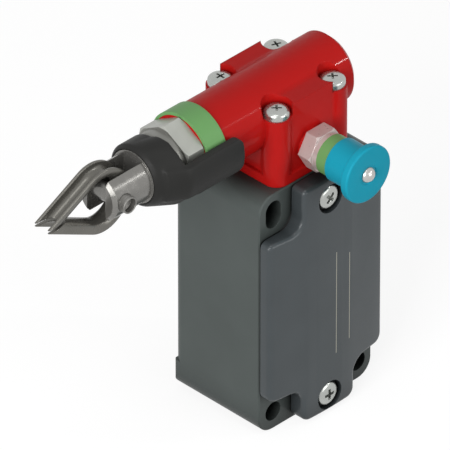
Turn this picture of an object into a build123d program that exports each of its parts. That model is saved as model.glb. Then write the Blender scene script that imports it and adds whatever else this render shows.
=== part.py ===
"""Safety rope pull switch: die-cast case, crowned lid, turnable red head, pull shaft and rope thimble.

Lengths are millimetres. The origin is the centre of the four fixing holes on the back face.
+Y points out of the back into the wall, the lid faces -Y, the rope leaves towards -X, +Z is up.
The pull shaft lies along X in the tube of the head, and the reset knob lies along Y below it.
"""
from build123d import *
import math
import os

os.makedirs("parts", exist_ok=True)

# Fits, gaps and the overshoot of cutting tools shared by every piece
running_gap = 0.05
thread_gap = 0.05
free_gap = 0.4
touch_gap = 0.1
overshoot = 1.0

# Fixing holes and case
hole_pitch_x = 30.0
hole_pitch_z = 60.0
fixing_hole_d = 5.3
slot_length = 7.9
slot_depth = 20.0
ear_radius = 5.0
top_margin = 6.0
bottom_margin = 5.5
case_depth = 30.0
back_wall = 2.4
rim_width = 2.4
top_block_height = 11.0
back_corner_radius = 2.6
pad_corner_radius = 1.0
front_bevel = 0.35

# Conduit entry in the bottom of the case
entry_radius = 9.25
entry_length = 9.0
entry_y = -13.6
entry_bevel = 0.7

# Lid, its seal and its screws
gasket_thick = 0.5
gasket_inset = 0.8
lid_edge_depth = 3.0
lid_crown = 1.7
lid_front_wall = 2.2
lid_edge_radius = 1.1
notch_radius = 5.9
lobe_radius = 2.7
tab_top_radius = 1.5
tab_bottom_radius = 2.6
tab_bottom_margin = 2.4
lip_gap = 0.25
lip_thick = 1.2
lip_length = 2.2
lid_screw_z = 30.0
lid_screw_head_radius = 3.35
lid_screw_head_height = 2.2
lid_screw_radius = 2.0
lid_screw_length = 7.2
lid_screw_sink = 0.1
lid_counterbore_gap = 0.75

# Red head: base, lugs and tube
head_setback = 0.4
head_width = 27.0
lug_radius = 3.7
wall_inset = 0.9
pocket_margin = 0.2
base_flange_height = 2.6
shoulder_height = 22.5
head_screw_seat_height = 19.2
tube_z = 51.9
tube_radius = 9.7
tube_bore_radius = 6.2
tube_front_x = -33.5
tube_back_x = 18.9
tube_end_wall = 2.4
tube_blend_radius = 3.0
lug_blend_radius = 1.6
head_edge_radius = 0.7
crest_sink = 0.05
head_screw_head_radius = 3.3
head_screw_head_height = 2.4
head_screw_radius = 1.75
head_screw_length = 27.0
head_seal_radius = 7.9
head_seal_width = 1.4
head_seal_height = 1.0
well_radius = 5.0

# Band and guide nut on the front end of the tube
band_length = 6.4
band_outer_radius = 10.15
band_seat_radius = 9.3
nut_across_flats = 17.0
nut_length = 6.0
nut_neck_radius = 8.2
nut_neck_length = 3.2
nut_shank_length = 6.0
nut_bevel = 0.9
nut_bevel_angle = 30.0
shaft_seal_radius = 5.2
shaft_seal_depth = 2.0

# Pull shaft, fork, pin and thimble
shaft_radius = 3.0
shaft_tail_radius = 2.0
fork_radius = 6.65
fork_tip_bevel = 0.9
fork_collar_radius = 7.2
fork_slot = 6.4
fork_tip_reach = 3.5
pin_x = -59.1
pin_radius = 2.3
pin_length = 16.8
pin_recess_radius = 1.2
pin_recess_depth = 0.7
pin_bevel = 0.35
pull_travel = 12.0
thimble_swing = 45.0
thimble_outer_radius = 9.0
thimble_depth = 3.3
thimble_width = 5.4
thimble_thick = 0.85
thimble_crown_radius = 2.4
thimble_rim_radius = 0.3
thimble_length = 28.8
thimble_slit = 0.9

# Black indicator cup on the shaft
cup_front_x = -50.0
cup_length = 7.0
cup_hub_radius = 8.5
cup_front_bevel = 0.9
cup_seat_depth = 2.6
cup_flare_radius = 9.3
cup_flare_offset = 3.5
cup_flare_overhang = 0.5
arm_gap = 0.85
arm_thick = 2.0
arm_half_angle = 21.5
arm_end_x = -23.9
arm_corner_radius = 1.8
arm_root_length = 5.2
arm_root_drop = 2.9

# Spring, washer and cam inside the tube
main_wire = 1.2
main_coil_radius = 4.9
main_turns = 6.5
washer_radius = 5.7
washer_thick = 1.0
cam_start_x = -2.4
cam_length = 16.0
cam_radius_at_plunger = 3.0
cam_slope = 0.2
keeper_radius = 3.4
keeper_groove_radius = 1.5
keeper_thick = 0.9
tail_end_margin = 0.8

# Plunger and bush
tip_gap = 0.35
tip_radius = 1.6
stem_radius = 2.5
collar_radius = 3.6
collar_thick = 1.6
bush_radius = 5.2
bush_flange_radius = 4.9
bush_flange_thick = 1.4
bush_length = 9.0

# Reset: nut, band, shaft, knob, yoke and spring
reset_z = 43.5
reset_nut_flats = 10.5
reset_nut_thick = 4.0
reset_nut_bevel = 0.5
reset_pad_radius = 4.95
reset_collar_radius = 5.2
reset_collar_length = 1.6
reset_thread_radius = 3.6
reset_thread_length = 2.4
reset_band_radius = 5.35
reset_band_seat_radius = 4.2
reset_band_length = 4.4
reset_shaft_radius = 2.1
reset_dome_height = 1.4
knob_skirt_radius = 6.0
knob_skirt_start = 3.4
knob_flange_radius = 8.2
knob_flange_thick = 1.9
knob_flange_edge = 0.9
knob_length = 9.6
knob_neck_blend = 2.2
reset_in_travel = 1.6
reset_out_travel = 3.0
yoke_half_width = 3.5
yoke_slot_half = 2.0
yoke_height = 2.0
yoke_reach = 2.2
yoke_bridge = 1.6
yoke_stub_radius = 0.65
reset_wire = 0.5
reset_coil_radius = 2.75
reset_turns = 3.0
reset_seal_radius = 3.2
reset_seal_thick = 1.2

# Contact block and what it holds
block_width = 27.0
block_depth = 19.0
block_top_z = 21.0
block_bottom_z = -15.0
block_edge_radius = 1.0
chamber_half_width = 12.0
chamber_top_z = 13.0
chamber_bottom_z = -3.4
chamber_back = 3.6
carrier_side = 6.6
carrier_rise = 1.5
carrier_bottom_z = -5.0
block_floor = 2.0
bridge_length = 21.0
bridge_width = 3.6
bridge_thick = 0.8
upper_bridge_z = 10.0
lower_bridge_z = 1.4
window_height = 4.0
rivet_radius = 1.2
rivet_height = 0.5
rivet_inset = 1.8
strip_thick = 0.8
strip_width = 4.6
strip_inner_x = 7.0
terminal_x = 9.6
terminal_pad_height = 7.2
terminal_screw_drop = 4.0
terminal_head_radius = 2.3
terminal_head_height = 1.7
terminal_screw_radius = 1.5
terminal_screw_length = 6.5
clamp_side = 4.8
clamp_thick = 0.8
block_screw_x = 5.1
block_screw_upper_z = 18.6
block_screw_lower_z = -9.5
block_screw_radius = 1.25
block_screw_head_radius = 2.05
block_screw_head_height = 1.5
block_screw_grip = 3.0
boss_radius = 3.0
carrier_wire = 0.6
carrier_coil_radius = 2.4
carrier_turns = 5.0
contact_wire = 0.5
contact_coil_radius = 1.3
contact_turns = 2.5
earth_x = -6.5
earth_z = -20.2
earth_boss_radius = 3.4
earth_boss_height = 5.0
earth_screw_radius = 1.75
earth_head_radius = 3.1
earth_head_height = 2.0
earth_screw_length = 5.6
earth_washer_radius = 3.8
earth_washer_thick = 0.8

# Head rounding, shank bevel and recess shared by all cross-slotted screws
head_round_share = 0.4
shank_bevel_share = 0.25
cross_blade = 0.8
cross_depth_share = 0.55
cross_span_share = 1.05

# Derived places
hole_x = hole_pitch_x / 2
hole_z = hole_pitch_z / 2
hole_radius = fixing_hole_d / 2
case_half = hole_x + ear_radius
case_top = hole_z + top_margin
case_bottom = -hole_z - bottom_margin
case_front = -case_depth
cavity_top = case_top - top_block_height
cavity_bottom = case_bottom + entry_length
cavity_back = -back_wall
lid_back = case_front - gasket_thick
lid_edge_y = lid_back - lid_edge_depth
lid_crown_y = lid_edge_y - lid_crown
lid_bottom = case_bottom + tab_bottom_margin
lid_screw_seat_y = lid_crown_y + lid_screw_sink + lid_screw_head_height
head_half = head_width / 2
head_y = case_front + head_half + head_setback
lug_spread = head_half - lug_radius
wall_half = head_half - wall_inset
shoulder_z = case_top + shoulder_height
head_screw_seat_z = case_top + head_screw_seat_height
tube_inner_end = tube_back_x - tube_end_wall
nut_front_x = tube_front_x - nut_length
neck_front_x = nut_front_x - nut_neck_length
shank_end_x = tube_front_x + nut_shank_length
cup_back_x = cup_front_x + cup_length
bow_inner_radius = thimble_outer_radius - thimble_depth
bow_offset = bow_inner_radius - pin_radius - touch_gap
arm_radius = band_outer_radius + arm_gap + arm_thick
bow_x = pin_x - bow_offset
bow_clear_x = pin_x - bow_offset * math.cos(math.radians(thimble_swing)) + thimble_outer_radius
fork_floor_x = max(bow_clear_x + free_gap, cup_front_x)
fork_tip_x = pin_x - fork_tip_reach
fork_root_x = cup_front_x + cup_seat_depth
washer_front_x = cam_start_x - washer_thick
cam_end_x = cam_start_x + cam_length
tail_end_x = cam_end_x + keeper_thick + tail_end_margin
plunger_travel = cam_slope * pull_travel
tip_z = tube_z - cam_radius_at_plunger - tip_gap
yoke_bottom_z = reset_z - yoke_height / 2
collar_top_z = yoke_bottom_z - free_gap
carrier_top_z = block_top_z + carrier_rise
yoke_inner_y = head_y - tip_radius - reset_in_travel - free_gap
yoke_front_y = yoke_inner_y - yoke_bridge
reset_wall_y = head_y - head_half
reset_nut_front = reset_wall_y - reset_nut_thick
reset_band_back = reset_nut_front - reset_collar_length
reset_band_front = reset_band_back - reset_band_length
knob_skirt_back = reset_band_back - knob_skirt_start
knob_front_y = knob_skirt_back - knob_length
block_front = head_y - block_depth / 2
block_back = head_y + block_depth / 2
carrier_hole = carrier_side + 2 * touch_gap
upper_strip_z = upper_bridge_z + bridge_thick / 2 + rivet_height + touch_gap
lower_strip_z = lower_bridge_z - bridge_thick / 2 - rivet_height - plunger_travel - touch_gap


def save(name, shape):
    """Write one named piece, or one group of identical pieces."""
    shape.label = name
    export_step(shape, f"parts/{name}.step")
    print(name, len(shape.solids()), round(shape.volume, 1))


def group(solids):
    """Keep identical pieces together as separate solids."""
    return Compound(children=[part.solid() for part in solids])


def front_prism(sketch, back_y, front_y):
    """Extrude an outline drawn in X and Z from back_y forward to front_y."""
    return extrude(Plane.XZ.offset(-back_y) * sketch, amount=back_y - front_y)


def rod_x(radius, start, end, y=head_y, z=tube_z):
    return Pos((start + end) / 2, y, z) * Rot(0, 90, 0) * Cylinder(radius, abs(end - start))


def rod_y(radius, start, end, x=0.0, z=0.0):
    return Pos(x, (start + end) / 2, z) * Rot(90, 0, 0) * Cylinder(radius, abs(end - start))


def rod_z(radius, start, end, x=0.0, y=head_y):
    return Pos(x, y, (start + end) / 2) * Cylinder(radius, abs(end - start))


def bar(x_range, y_range, z_range):
    """Make a plain block between three pairs of coordinates."""
    centre = [sum(pair) / 2 for pair in (x_range, y_range, z_range)]
    size = [abs(pair[1] - pair[0]) for pair in (x_range, y_range, z_range)]
    return Pos(*centre) * Box(*size)


def round_corner(sketch, x, y, radius):
    """Round the corner of an outline that lies nearest to a point."""
    corner = sketch.vertices().sort_by_distance((x, y, 0))[0]
    return fillet(corner, radius)


def turned_x(points):
    """Turn a profile of (x, radius) points about the tube's axis."""
    face = make_face(Polyline(*points, close=True))
    return Pos(0, head_y, tube_z) * revolve(Plane.XZ * face, Axis.X)


def turned_y(sketch, x=0.0, z=reset_z):
    """Turn a profile drawn as radius and y about an axis along Y."""
    return Pos(x, 0, z) * revolve(sketch, Axis.Y)


def coil(radius, wire, turns, length):
    """Wind a round wire about +Z from z = 0, its ends inside the given length."""
    rise = length - wire
    path = Helix(pitch=rise / turns, height=rise, radius=radius)
    section = Plane(origin=path @ 0, z_dir=path % 0) * Circle(wire / 2)
    return Pos(0, 0, wire / 2) * sweep(section, path=path, is_frenet=True)


def cross_screw(head_radius, head_height, shank_radius, length):
    """Make a pan-head screw with its seat at z = 0, its head up and a cross recess."""
    head = Cylinder(head_radius, head_height, align=(Align.CENTER, Align.CENTER, Align.MIN))
    head = fillet(head.faces().sort_by(Axis.Z)[-1].edges(), head_height * head_round_share)
    shank = Cylinder(shank_radius, length, align=(Align.CENTER, Align.CENTER, Align.MAX))
    shank = chamfer(shank.faces().sort_by(Axis.Z)[0].edges(), shank_radius * shank_bevel_share)
    depth = head_height * cross_depth_share
    blade = Box(head_radius * cross_span_share, cross_blade, 2 * depth)
    recess = Pos(0, 0, head_height) * (blade + Rot(0, 0, 90) * blade)
    return head + shank - recess


def quadrants():
    """Give the four pairs of signs for a rectangular pattern."""
    return [(side, end) for side in (-1, 1) for end in (-1, 1)]


def ear_notch(side, end, radius):
    """Outline of the space that the lid leaves free round one fixing hole."""
    reach = 2 * case_half
    outline = Circle(radius) + Pos(side * reach / 2, 0) * Rectangle(reach, 2 * radius)
    outline += Pos(0, end * reach / 2) * Rectangle(2 * radius, reach)
    outline += Pos(side * reach / 2, end * reach / 2) * Rectangle(reach, reach)
    return Pos(side * hole_x, end * hole_z) * outline


def lid_outline(inset=0.0):
    """Cross-shaped outline of the lid, or the same outline moved inwards."""
    half = case_half - inset
    top = case_top - inset
    bottom = lid_bottom + inset
    outline = Pos(0, (top + bottom) / 2) * Rectangle(2 * half, top - bottom)
    for side, end in quadrants():
        outline -= ear_notch(side, end, notch_radius + inset)
    tab_half = hole_x - notch_radius - inset
    lobe_z = hole_z - notch_radius - inset
    for side in (-1, 1):
        if lobe_radius > inset:
            outline = round_corner(outline, side * half, lobe_z, lobe_radius - inset)
            outline = round_corner(outline, side * half, -lobe_z, lobe_radius - inset)
        if tab_top_radius > inset:
            outline = round_corner(outline, side * tab_half, top, tab_top_radius - inset)
        if tab_bottom_radius > inset:
            outline = round_corner(outline, side * tab_half, bottom, tab_bottom_radius - inset)
    return outline


def cavity_outline(inset=0.0):
    """Outline of the hollow of the case, closed above and below by solid metal."""
    low = cavity_bottom + inset
    high = cavity_top - inset
    window = Pos(0, (low + high) / 2) * Rectangle(2 * case_half, high - low)
    return lid_outline(rim_width + inset) & window


def case_plan(corner_radius, low, high):
    """Solid of the case in plan, with its two back corners rounded."""
    plan = Pos(0, case_front / 2) * Rectangle(2 * case_half, case_depth)
    plan = fillet(plan.vertices().group_by(Axis.Y)[-1], corner_radius)
    return extrude(Plane.XY.offset(low) * plan, amount=high - low)


def make_case():
    height = case_top - case_bottom
    outline = Pos(0, (case_top + case_bottom) / 2) * RectangleRounded(2 * case_half, height, ear_radius)
    block = front_prism(outline, 0, case_front)
    plans = case_plan(back_corner_radius, cavity_bottom, case_top)
    plans += case_plan(pad_corner_radius, case_bottom, cavity_bottom)
    block = block & plans
    block = chamfer(block.faces().sort_by(Axis.Y)[0].outer_wire().edges(), front_bevel)
    block -= front_prism(cavity_outline(), cavity_back, case_front)
    for side, end in quadrants():
        block -= rod_y(hole_radius, 0, case_front, side * hole_x, end * hole_z)
    for side in (-1, 1):
        slot = Pos(side * hole_x, hole_z) * SlotOverall(slot_length, fixing_hole_d, rotation=90)
        block -= front_prism(slot, case_front + slot_depth, case_front)
    block -= rod_z(entry_radius, case_bottom, cavity_bottom, 0, entry_y)
    bevel = Pos(0, entry_y, case_bottom) * Cone(
        entry_radius + entry_bevel, entry_radius, entry_bevel, align=(Align.CENTER, Align.CENTER, Align.MIN)
    )
    block -= bevel
    block -= rod_z(bush_radius, cavity_top, case_top)
    for end in (-1, 1):
        pilot_end = lid_screw_seat_y + lid_screw_length + free_gap
        block -= rod_y(lid_screw_radius + thread_gap, case_front, pilot_end, 0, end * lid_screw_z)
    pilot_floor = head_screw_seat_z - head_screw_length - free_gap
    for x, y in lug_places():
        block -= rod_z(head_screw_radius + thread_gap, pilot_floor, case_top, x, y)
    boss_hole = block_screw_radius + thread_gap
    hole_end = block_back + block_screw_grip + free_gap / 2
    for x, z in block_screw_places():
        block += rod_y(boss_radius, cavity_back, block_back, x, z)
        block -= rod_y(boss_hole, block_back, hole_end, x, z)
    earth_top = cavity_back - earth_boss_height
    block += rod_y(earth_boss_radius, cavity_back, earth_top, earth_x, earth_z)
    earth_hole_end = earth_top - earth_washer_thick + earth_screw_length + free_gap / 2
    block -= rod_y(earth_screw_radius + thread_gap, earth_top, earth_hole_end, earth_x, earth_z)
    return block


def crown_prism(inset):
    """Body under the crowned front of the lid, moved back by an inset."""
    edge = lid_edge_y + inset
    arc = ThreePointArc((-case_half, edge), (0, lid_crown_y + inset), (case_half, edge))
    back = Polyline((case_half, edge), (case_half, 0), (-case_half, 0), (-case_half, edge))
    face = Plane.XY.offset(2 * case_bottom) * make_face(arc + back)
    return extrude(face, amount=2 * (case_top - case_bottom))


def make_cover():
    shell = front_prism(lid_outline(), lid_back, 2 * lid_crown_y) & crown_prism(0)
    shell = fillet(shell.faces().sort_by(Axis.Y)[0].edges(), lid_edge_radius)
    shell += front_prism(cavity_outline(lip_gap), lid_back + lip_length, lid_back)
    hollow = front_prism(cavity_outline(lip_gap + lip_thick), lid_back + lip_length, 2 * lid_crown_y)
    shell -= hollow & crown_prism(lid_front_wall)
    for end in (-1, 1):
        sunk = lid_screw_head_radius + lid_counterbore_gap
        shell -= rod_y(sunk, lid_screw_seat_y, 2 * lid_crown_y, 0, end * lid_screw_z)
        shell -= rod_y(lid_screw_radius + touch_gap, lid_back, lid_screw_seat_y, 0, end * lid_screw_z)
    return shell


def make_gasket():
    ring = front_prism(lid_outline(gasket_inset) - cavity_outline(), case_front, lid_back)
    for end in (-1, 1):
        ring -= rod_y(lid_screw_radius + touch_gap, case_front, lid_back, 0, end * lid_screw_z)
    return ring


def make_cover_screws():
    screw = cross_screw(lid_screw_head_radius, lid_screw_head_height, lid_screw_radius, lid_screw_length)
    turned = Rot(90, 0, 0) * screw
    return group([Pos(0, lid_screw_seat_y, end * lid_screw_z) * turned for end in (-1, 1)])


def lug_places():
    return [(side * lug_spread, head_y + end * lug_spread) for side, end in quadrants()]


def head_plan():
    """Section of the head: straight walls between four round screw lugs."""
    plan = Pos(0, head_y) * RectangleRounded(2 * wall_half, 2 * wall_half, wall_half - lug_spread)
    for x, y in lug_places():
        plan += Pos(x, y) * Circle(lug_radius)
    return fillet(plan.vertices(), lug_blend_radius)


def head_section():
    """Section of the head across the tube: a round crest, just under the tube, blended into two shoulders."""
    core = tube_radius - crest_sink
    crest_half = math.sqrt(core**2 - (shoulder_z - tube_z) ** 2)
    section = Pos(head_y, shoulder_z / 2) * Rectangle(2 * head_width, shoulder_z)
    section += Pos(head_y, tube_z) * Circle(core)
    for side in (-1, 1):
        section = round_corner(section, head_y + side * crest_half, shoulder_z, tube_blend_radius)
    return section


def make_head():
    """Cast the head and cut the groove of its seal, which comes back as the second piece."""
    crest_z = tube_z + 2 * tube_radius
    body = extrude(Plane.XY.offset(case_top) * head_plan(), amount=crest_z - case_top)
    body &= extrude(Plane.YZ.offset(-head_width) * head_section(), amount=2 * head_width)
    tube = rod_x(tube_radius, tube_front_x, tube_back_x)
    body += chamfer(tube.faces().sort_by(Axis.X)[-1].edges(), 2 * head_edge_radius)
    flange = Pos(0, head_y) * RectangleRounded(head_width, head_width, lug_radius)
    flange = extrude(Plane.XY.offset(case_top) * flange, amount=base_flange_height)
    for x, y in lug_places():
        body -= rod_z(lug_radius + pocket_margin, head_screw_seat_z, crest_z, x, y)
        hole = rod_z(head_screw_radius + touch_gap, 0, crest_z, x, y)
        body -= hole
        flange -= hole
    body += flange
    seat_start = tube_front_x + band_length
    band_room = rod_x(tube_radius + overshoot, tube_front_x, seat_start)
    body -= band_room - rod_x(band_seat_radius, tube_front_x, seat_start)
    body -= rod_x(tube_bore_radius, tube_front_x, tube_inner_end)
    body -= rod_z(well_radius, case_top, tube_z)
    seal = rod_z(head_seal_radius + head_seal_width / 2, case_top, case_top + head_seal_height)
    seal -= rod_z(head_seal_radius - head_seal_width / 2, case_top, case_top + head_seal_height)
    body -= seal
    body += rod_y(reset_pad_radius, head_y - wall_half + overshoot, reset_wall_y, 0, reset_z)
    body -= rod_y(reset_thread_radius + thread_gap, reset_wall_y, head_y, 0, reset_z)
    slot_x = (-yoke_half_width - free_gap, yoke_half_width + free_gap)
    slot_y = (yoke_front_y - reset_out_travel - free_gap, head_y + yoke_reach + reset_in_travel + free_gap)
    body -= bar(slot_x, slot_y, (yoke_bottom_z - free_gap, yoke_bottom_z + yoke_height + free_gap))
    return body, seal


def make_head_screws():
    screw = cross_screw(head_screw_head_radius, head_screw_head_height, head_screw_radius, head_screw_length)
    return group([Pos(x, y, head_screw_seat_z) * screw for x, y in lug_places()])


def make_band():
    ring = rod_x(band_outer_radius, tube_front_x, tube_front_x + band_length)
    return ring - rod_x(band_seat_radius + running_gap / 2, tube_front_x, tube_front_x + band_length)


def hexagon(across_flats, turn):
    return RegularPolygon(across_flats / 2, 6, major_radius=False, rotation=turn)


def make_guide_nut():
    corner = nut_across_flats / math.sqrt(3)
    low = corner - nut_bevel
    slope = nut_bevel * math.tan(math.radians(nut_bevel_angle))
    face = Plane.YZ.offset(nut_front_x) * Pos(head_y, tube_z) * hexagon(nut_across_flats, 90)
    hexagonal = extrude(face, amount=nut_length)
    limit = turned_x(
        [
            (nut_front_x, 0),
            (nut_front_x, low),
            (nut_front_x + slope, corner),
            (tube_front_x - slope, corner),
            (tube_front_x, low),
            (tube_front_x, 0),
        ]
    )
    body = hexagonal & limit
    neck = rod_x(nut_neck_radius, neck_front_x, nut_front_x)
    body += fillet(neck.faces().sort_by(Axis.X)[0].edges(), head_edge_radius)
    body += rod_x(tube_bore_radius - thread_gap, tube_front_x, shank_end_x)
    body -= rod_x(shaft_radius + running_gap, neck_front_x, shank_end_x)
    return body - rod_x(shaft_seal_radius, neck_front_x, neck_front_x + shaft_seal_depth)


def make_shaft_seal():
    lip = head_edge_radius / 2
    start = neck_front_x
    end = neck_front_x + shaft_seal_depth
    inner = shaft_radius + running_gap
    outer = shaft_seal_radius
    return turned_x([(start, inner), (start, inner + lip), (start + lip, outer), (end, outer), (end, inner)])


def make_pull_shaft():
    shaft = rod_x(shaft_radius, fork_root_x, washer_front_x)
    shaft += rod_x(shaft_tail_radius, washer_front_x, tail_end_x)
    fork = rod_x(fork_radius, fork_tip_x, fork_root_x)
    fork = chamfer(fork.faces().sort_by(Axis.X)[0].edges(), fork_tip_bevel)
    shaft += fork + rod_x(fork_collar_radius, cup_front_x, fork_root_x)
    slot_y = (head_y - fork_slot / 2, head_y + fork_slot / 2)
    slot_z = (tube_z - 2 * fork_radius, tube_z + 2 * fork_radius)
    shaft -= bar((fork_tip_x - overshoot, fork_floor_x), slot_y, slot_z)
    shaft -= rod_y(pin_radius + running_gap, head_y - fork_radius, head_y + fork_radius, pin_x, tube_z)
    groove = rod_x(shaft_tail_radius, cam_end_x, cam_end_x + keeper_thick)
    groove -= rod_x(keeper_groove_radius, cam_end_x, cam_end_x + keeper_thick)
    shaft -= groove
    return shaft


def make_fork_pin():
    pin = rod_y(pin_radius, head_y - pin_length / 2, head_y + pin_length / 2, pin_x, tube_z)
    ends = pin.faces().sort_by(Axis.Y)
    pin = chamfer(ends[0].edges() + ends[-1].edges(), pin_bevel)
    for side in (-1, 1):
        face = head_y + side * pin_length / 2
        pin -= rod_y(pin_recess_radius, face - side * pin_recess_depth, face, pin_x, tube_z)
    return pin


def channel_section():
    """Section of the thimble's channel: X outwards from its crown, Y across."""
    half = thimble_width / 2
    outline = Pos(thimble_depth / 2, 0) * Rectangle(thimble_depth, thimble_width)
    for side in (-1, 1):
        outline = round_corner(outline, 0, side * half, thimble_crown_radius)
    groove_radius = half - thimble_thick
    groove = Circle(groove_radius) + Pos(thimble_depth / 2, 0) * Rectangle(thimble_depth, 2 * groove_radius)
    outline -= Pos(thimble_thick + groove_radius, 0) * groove
    return fillet(outline.vertices().group_by(Axis.X)[-1], thimble_rim_radius)


def make_thimble():
    """Bend the channel round the bow and run its two legs together to a slit point."""
    half_angle = math.asin(thimble_outer_radius / (thimble_length - thimble_outer_radius))
    out_x = -math.sin(half_angle)
    out_z = math.cos(half_angle)
    start = (bow_x + bow_inner_radius * out_x, head_y, tube_z + bow_inner_radius * out_z)
    place = Plane(origin=start, x_dir=(out_x, 0, out_z), z_dir=(-out_z, 0, out_x))
    section = place * channel_section()
    axis = Axis((bow_x, head_y, tube_z), (0, 1, 0))
    bow = revolve(section, axis, revolution_arc=180 + 2 * math.degrees(half_angle))
    leg = extrude(section, amount=thimble_length)
    far_x = bow_x - 2 * thimble_length
    reach_y = (head_y - thimble_width, head_y + thimble_width)
    leg &= bar((far_x, bow_x), reach_y, (tube_z + thimble_slit / 2, tube_z + 2 * thimble_outer_radius))
    return bow + leg + mirror(leg, about=Plane.XY.offset(tube_z))


def make_cup():
    hub = rod_x(cup_hub_radius, cup_front_x, cup_back_x)
    hub = chamfer(hub.faces().sort_by(Axis.X)[0].edges(), cup_front_bevel)
    small = Plane.YZ.offset(cup_front_x + cup_front_bevel) * Pos(head_y, tube_z) * Circle(cup_hub_radius)
    rear_x = cup_back_x + cup_flare_overhang
    large = Plane.YZ.offset(rear_x) * Pos(head_y - cup_flare_offset, tube_z) * Circle(cup_flare_radius)
    cup = hub + loft([small.face(), large.face()])
    root_x = rear_x - arm_root_length
    plate = turned_x(
        [
            (root_x, arm_radius - arm_root_drop),
            (rear_x, arm_radius),
            (arm_end_x, arm_radius),
            (arm_end_x, arm_radius - arm_thick),
            (rear_x, arm_radius - arm_thick),
            (root_x, arm_radius - arm_root_drop - arm_thick),
        ]
    )
    arm_half = arm_radius * math.sin(math.radians(arm_half_angle))
    outline = Pos((root_x + arm_end_x) / 2, tube_z) * Rectangle(arm_end_x - root_x, 2 * arm_half)
    outline = fillet(outline.vertices().group_by(Axis.X)[-1], arm_corner_radius)
    cup += plate & front_prism(outline, head_y, head_y - 2 * arm_radius)
    neck_room = nut_neck_radius + free_gap
    cup -= rod_x(neck_room, cup_back_x, cup_back_x + 2 * cup_flare_overhang)
    cup -= rod_x(fork_collar_radius + touch_gap, cup_front_x - overshoot, fork_root_x)
    return cup - rod_x(shaft_radius + running_gap, fork_root_x, cup_back_x)


def make_main_spring():
    start = shank_end_x + touch_gap
    length = washer_front_x - touch_gap - start
    return Pos(start, head_y, tube_z) * Rot(0, 90, 0) * coil(main_coil_radius, main_wire, main_turns, length)


def make_spring_washer():
    ring = rod_x(washer_radius, washer_front_x, cam_start_x)
    return ring - rod_x(shaft_tail_radius + running_gap, washer_front_x, cam_start_x)


def cam_radius(x):
    """Radius of the cam cone that lies over the plunger after a pull of x."""
    return cam_radius_at_plunger + cam_slope * x


def make_cam():
    thin = (cam_start_x, cam_radius(cam_start_x))
    thick = (cam_end_x, cam_radius(cam_end_x))
    cone = turned_x([(cam_start_x, 0), thin, thick, (cam_end_x, 0)])
    return cone - rod_x(shaft_tail_radius + running_gap, cam_start_x, cam_end_x)


def make_keeper():
    ring = rod_x(keeper_radius, cam_end_x, cam_end_x + keeper_thick)
    ring -= rod_x(keeper_groove_radius + running_gap, cam_end_x, cam_end_x + keeper_thick)
    mouth = bar(
        (cam_end_x, cam_end_x + keeper_thick),
        (head_y, head_y + 2 * keeper_radius),
        (tube_z - shaft_tail_radius / 2, tube_z + shaft_tail_radius / 2),
    )
    return ring - mouth


def make_plunger():
    top = rod_z(tip_radius, collar_top_z, tip_z - tip_radius)
    top += Pos(0, head_y, tip_z - tip_radius) * Sphere(tip_radius)
    collar = rod_z(collar_radius, collar_top_z - collar_thick, collar_top_z)
    return top + collar + rod_z(stem_radius, carrier_top_z, collar_top_z - collar_thick)


def make_bush():
    flange_top = case_top + bush_flange_thick
    bush = rod_z(bush_radius - thread_gap, case_top - bush_length, case_top)
    bush += rod_z(bush_flange_radius - thread_gap, case_top, flange_top)
    return bush - rod_z(stem_radius + running_gap, case_top - bush_length, flange_top)


def make_reset_nut():
    hexagonal = front_prism(Pos(0, reset_z) * hexagon(reset_nut_flats, 0), reset_wall_y, reset_nut_front)
    corner = reset_nut_flats / math.sqrt(3)
    round_blank = rod_y(corner, reset_wall_y, reset_nut_front, 0, reset_z)
    hexagonal &= chamfer(round_blank.faces().sort_by(Axis.Y)[0].edges(), reset_nut_bevel)
    nut = hexagonal + rod_y(reset_collar_radius, reset_nut_front, reset_band_back, 0, reset_z)
    nut += rod_y(reset_band_seat_radius, reset_band_back, reset_band_front, 0, reset_z)
    nut += rod_y(reset_thread_radius, reset_wall_y, reset_wall_y + reset_thread_length, 0, reset_z)
    inner_end = reset_wall_y + reset_thread_length
    nut -= rod_y(reset_shaft_radius + running_gap, reset_band_front, inner_end, 0, reset_z)
    return nut - rod_y(reset_seal_radius, reset_band_front, reset_band_front + reset_seal_thick, 0, reset_z)


def make_reset_seal():
    ring = rod_y(reset_seal_radius, reset_band_front, reset_band_front + reset_seal_thick, 0, reset_z)
    return ring - rod_y(
        reset_shaft_radius + running_gap, reset_band_front, reset_band_front + reset_seal_thick, 0, reset_z
    )


def make_reset_band():
    ring = rod_y(reset_band_radius, reset_band_back, reset_band_front, 0, reset_z)
    inner = reset_band_seat_radius + running_gap / 2
    return ring - rod_y(inner, reset_band_back, reset_band_front, 0, reset_z)


def make_knob():
    start = knob_skirt_back
    edge = knob_front_y + knob_flange_thick
    neck = edge + knob_flange_radius - knob_skirt_radius
    outline = make_face(
        Polyline(
            (0, start),
            (knob_skirt_radius, start),
            (knob_skirt_radius, neck),
            (knob_flange_radius, edge),
            (knob_flange_radius, knob_front_y),
            (0, knob_front_y),
            close=True,
        )
    )
    outline = round_corner(outline, knob_skirt_radius, neck, knob_neck_blend)
    outline = round_corner(outline, knob_flange_radius, edge, knob_flange_edge / 2)
    outline = round_corner(outline, knob_flange_radius, knob_front_y, knob_flange_edge)
    knob = turned_y(outline)
    skirt_end = reset_band_front - reset_in_travel - free_gap
    knob -= rod_y(reset_band_radius + 2 * touch_gap, start, skirt_end, 0, reset_z)
    return knob - rod_y(reset_shaft_radius, skirt_end, knob_front_y, 0, reset_z)


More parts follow.
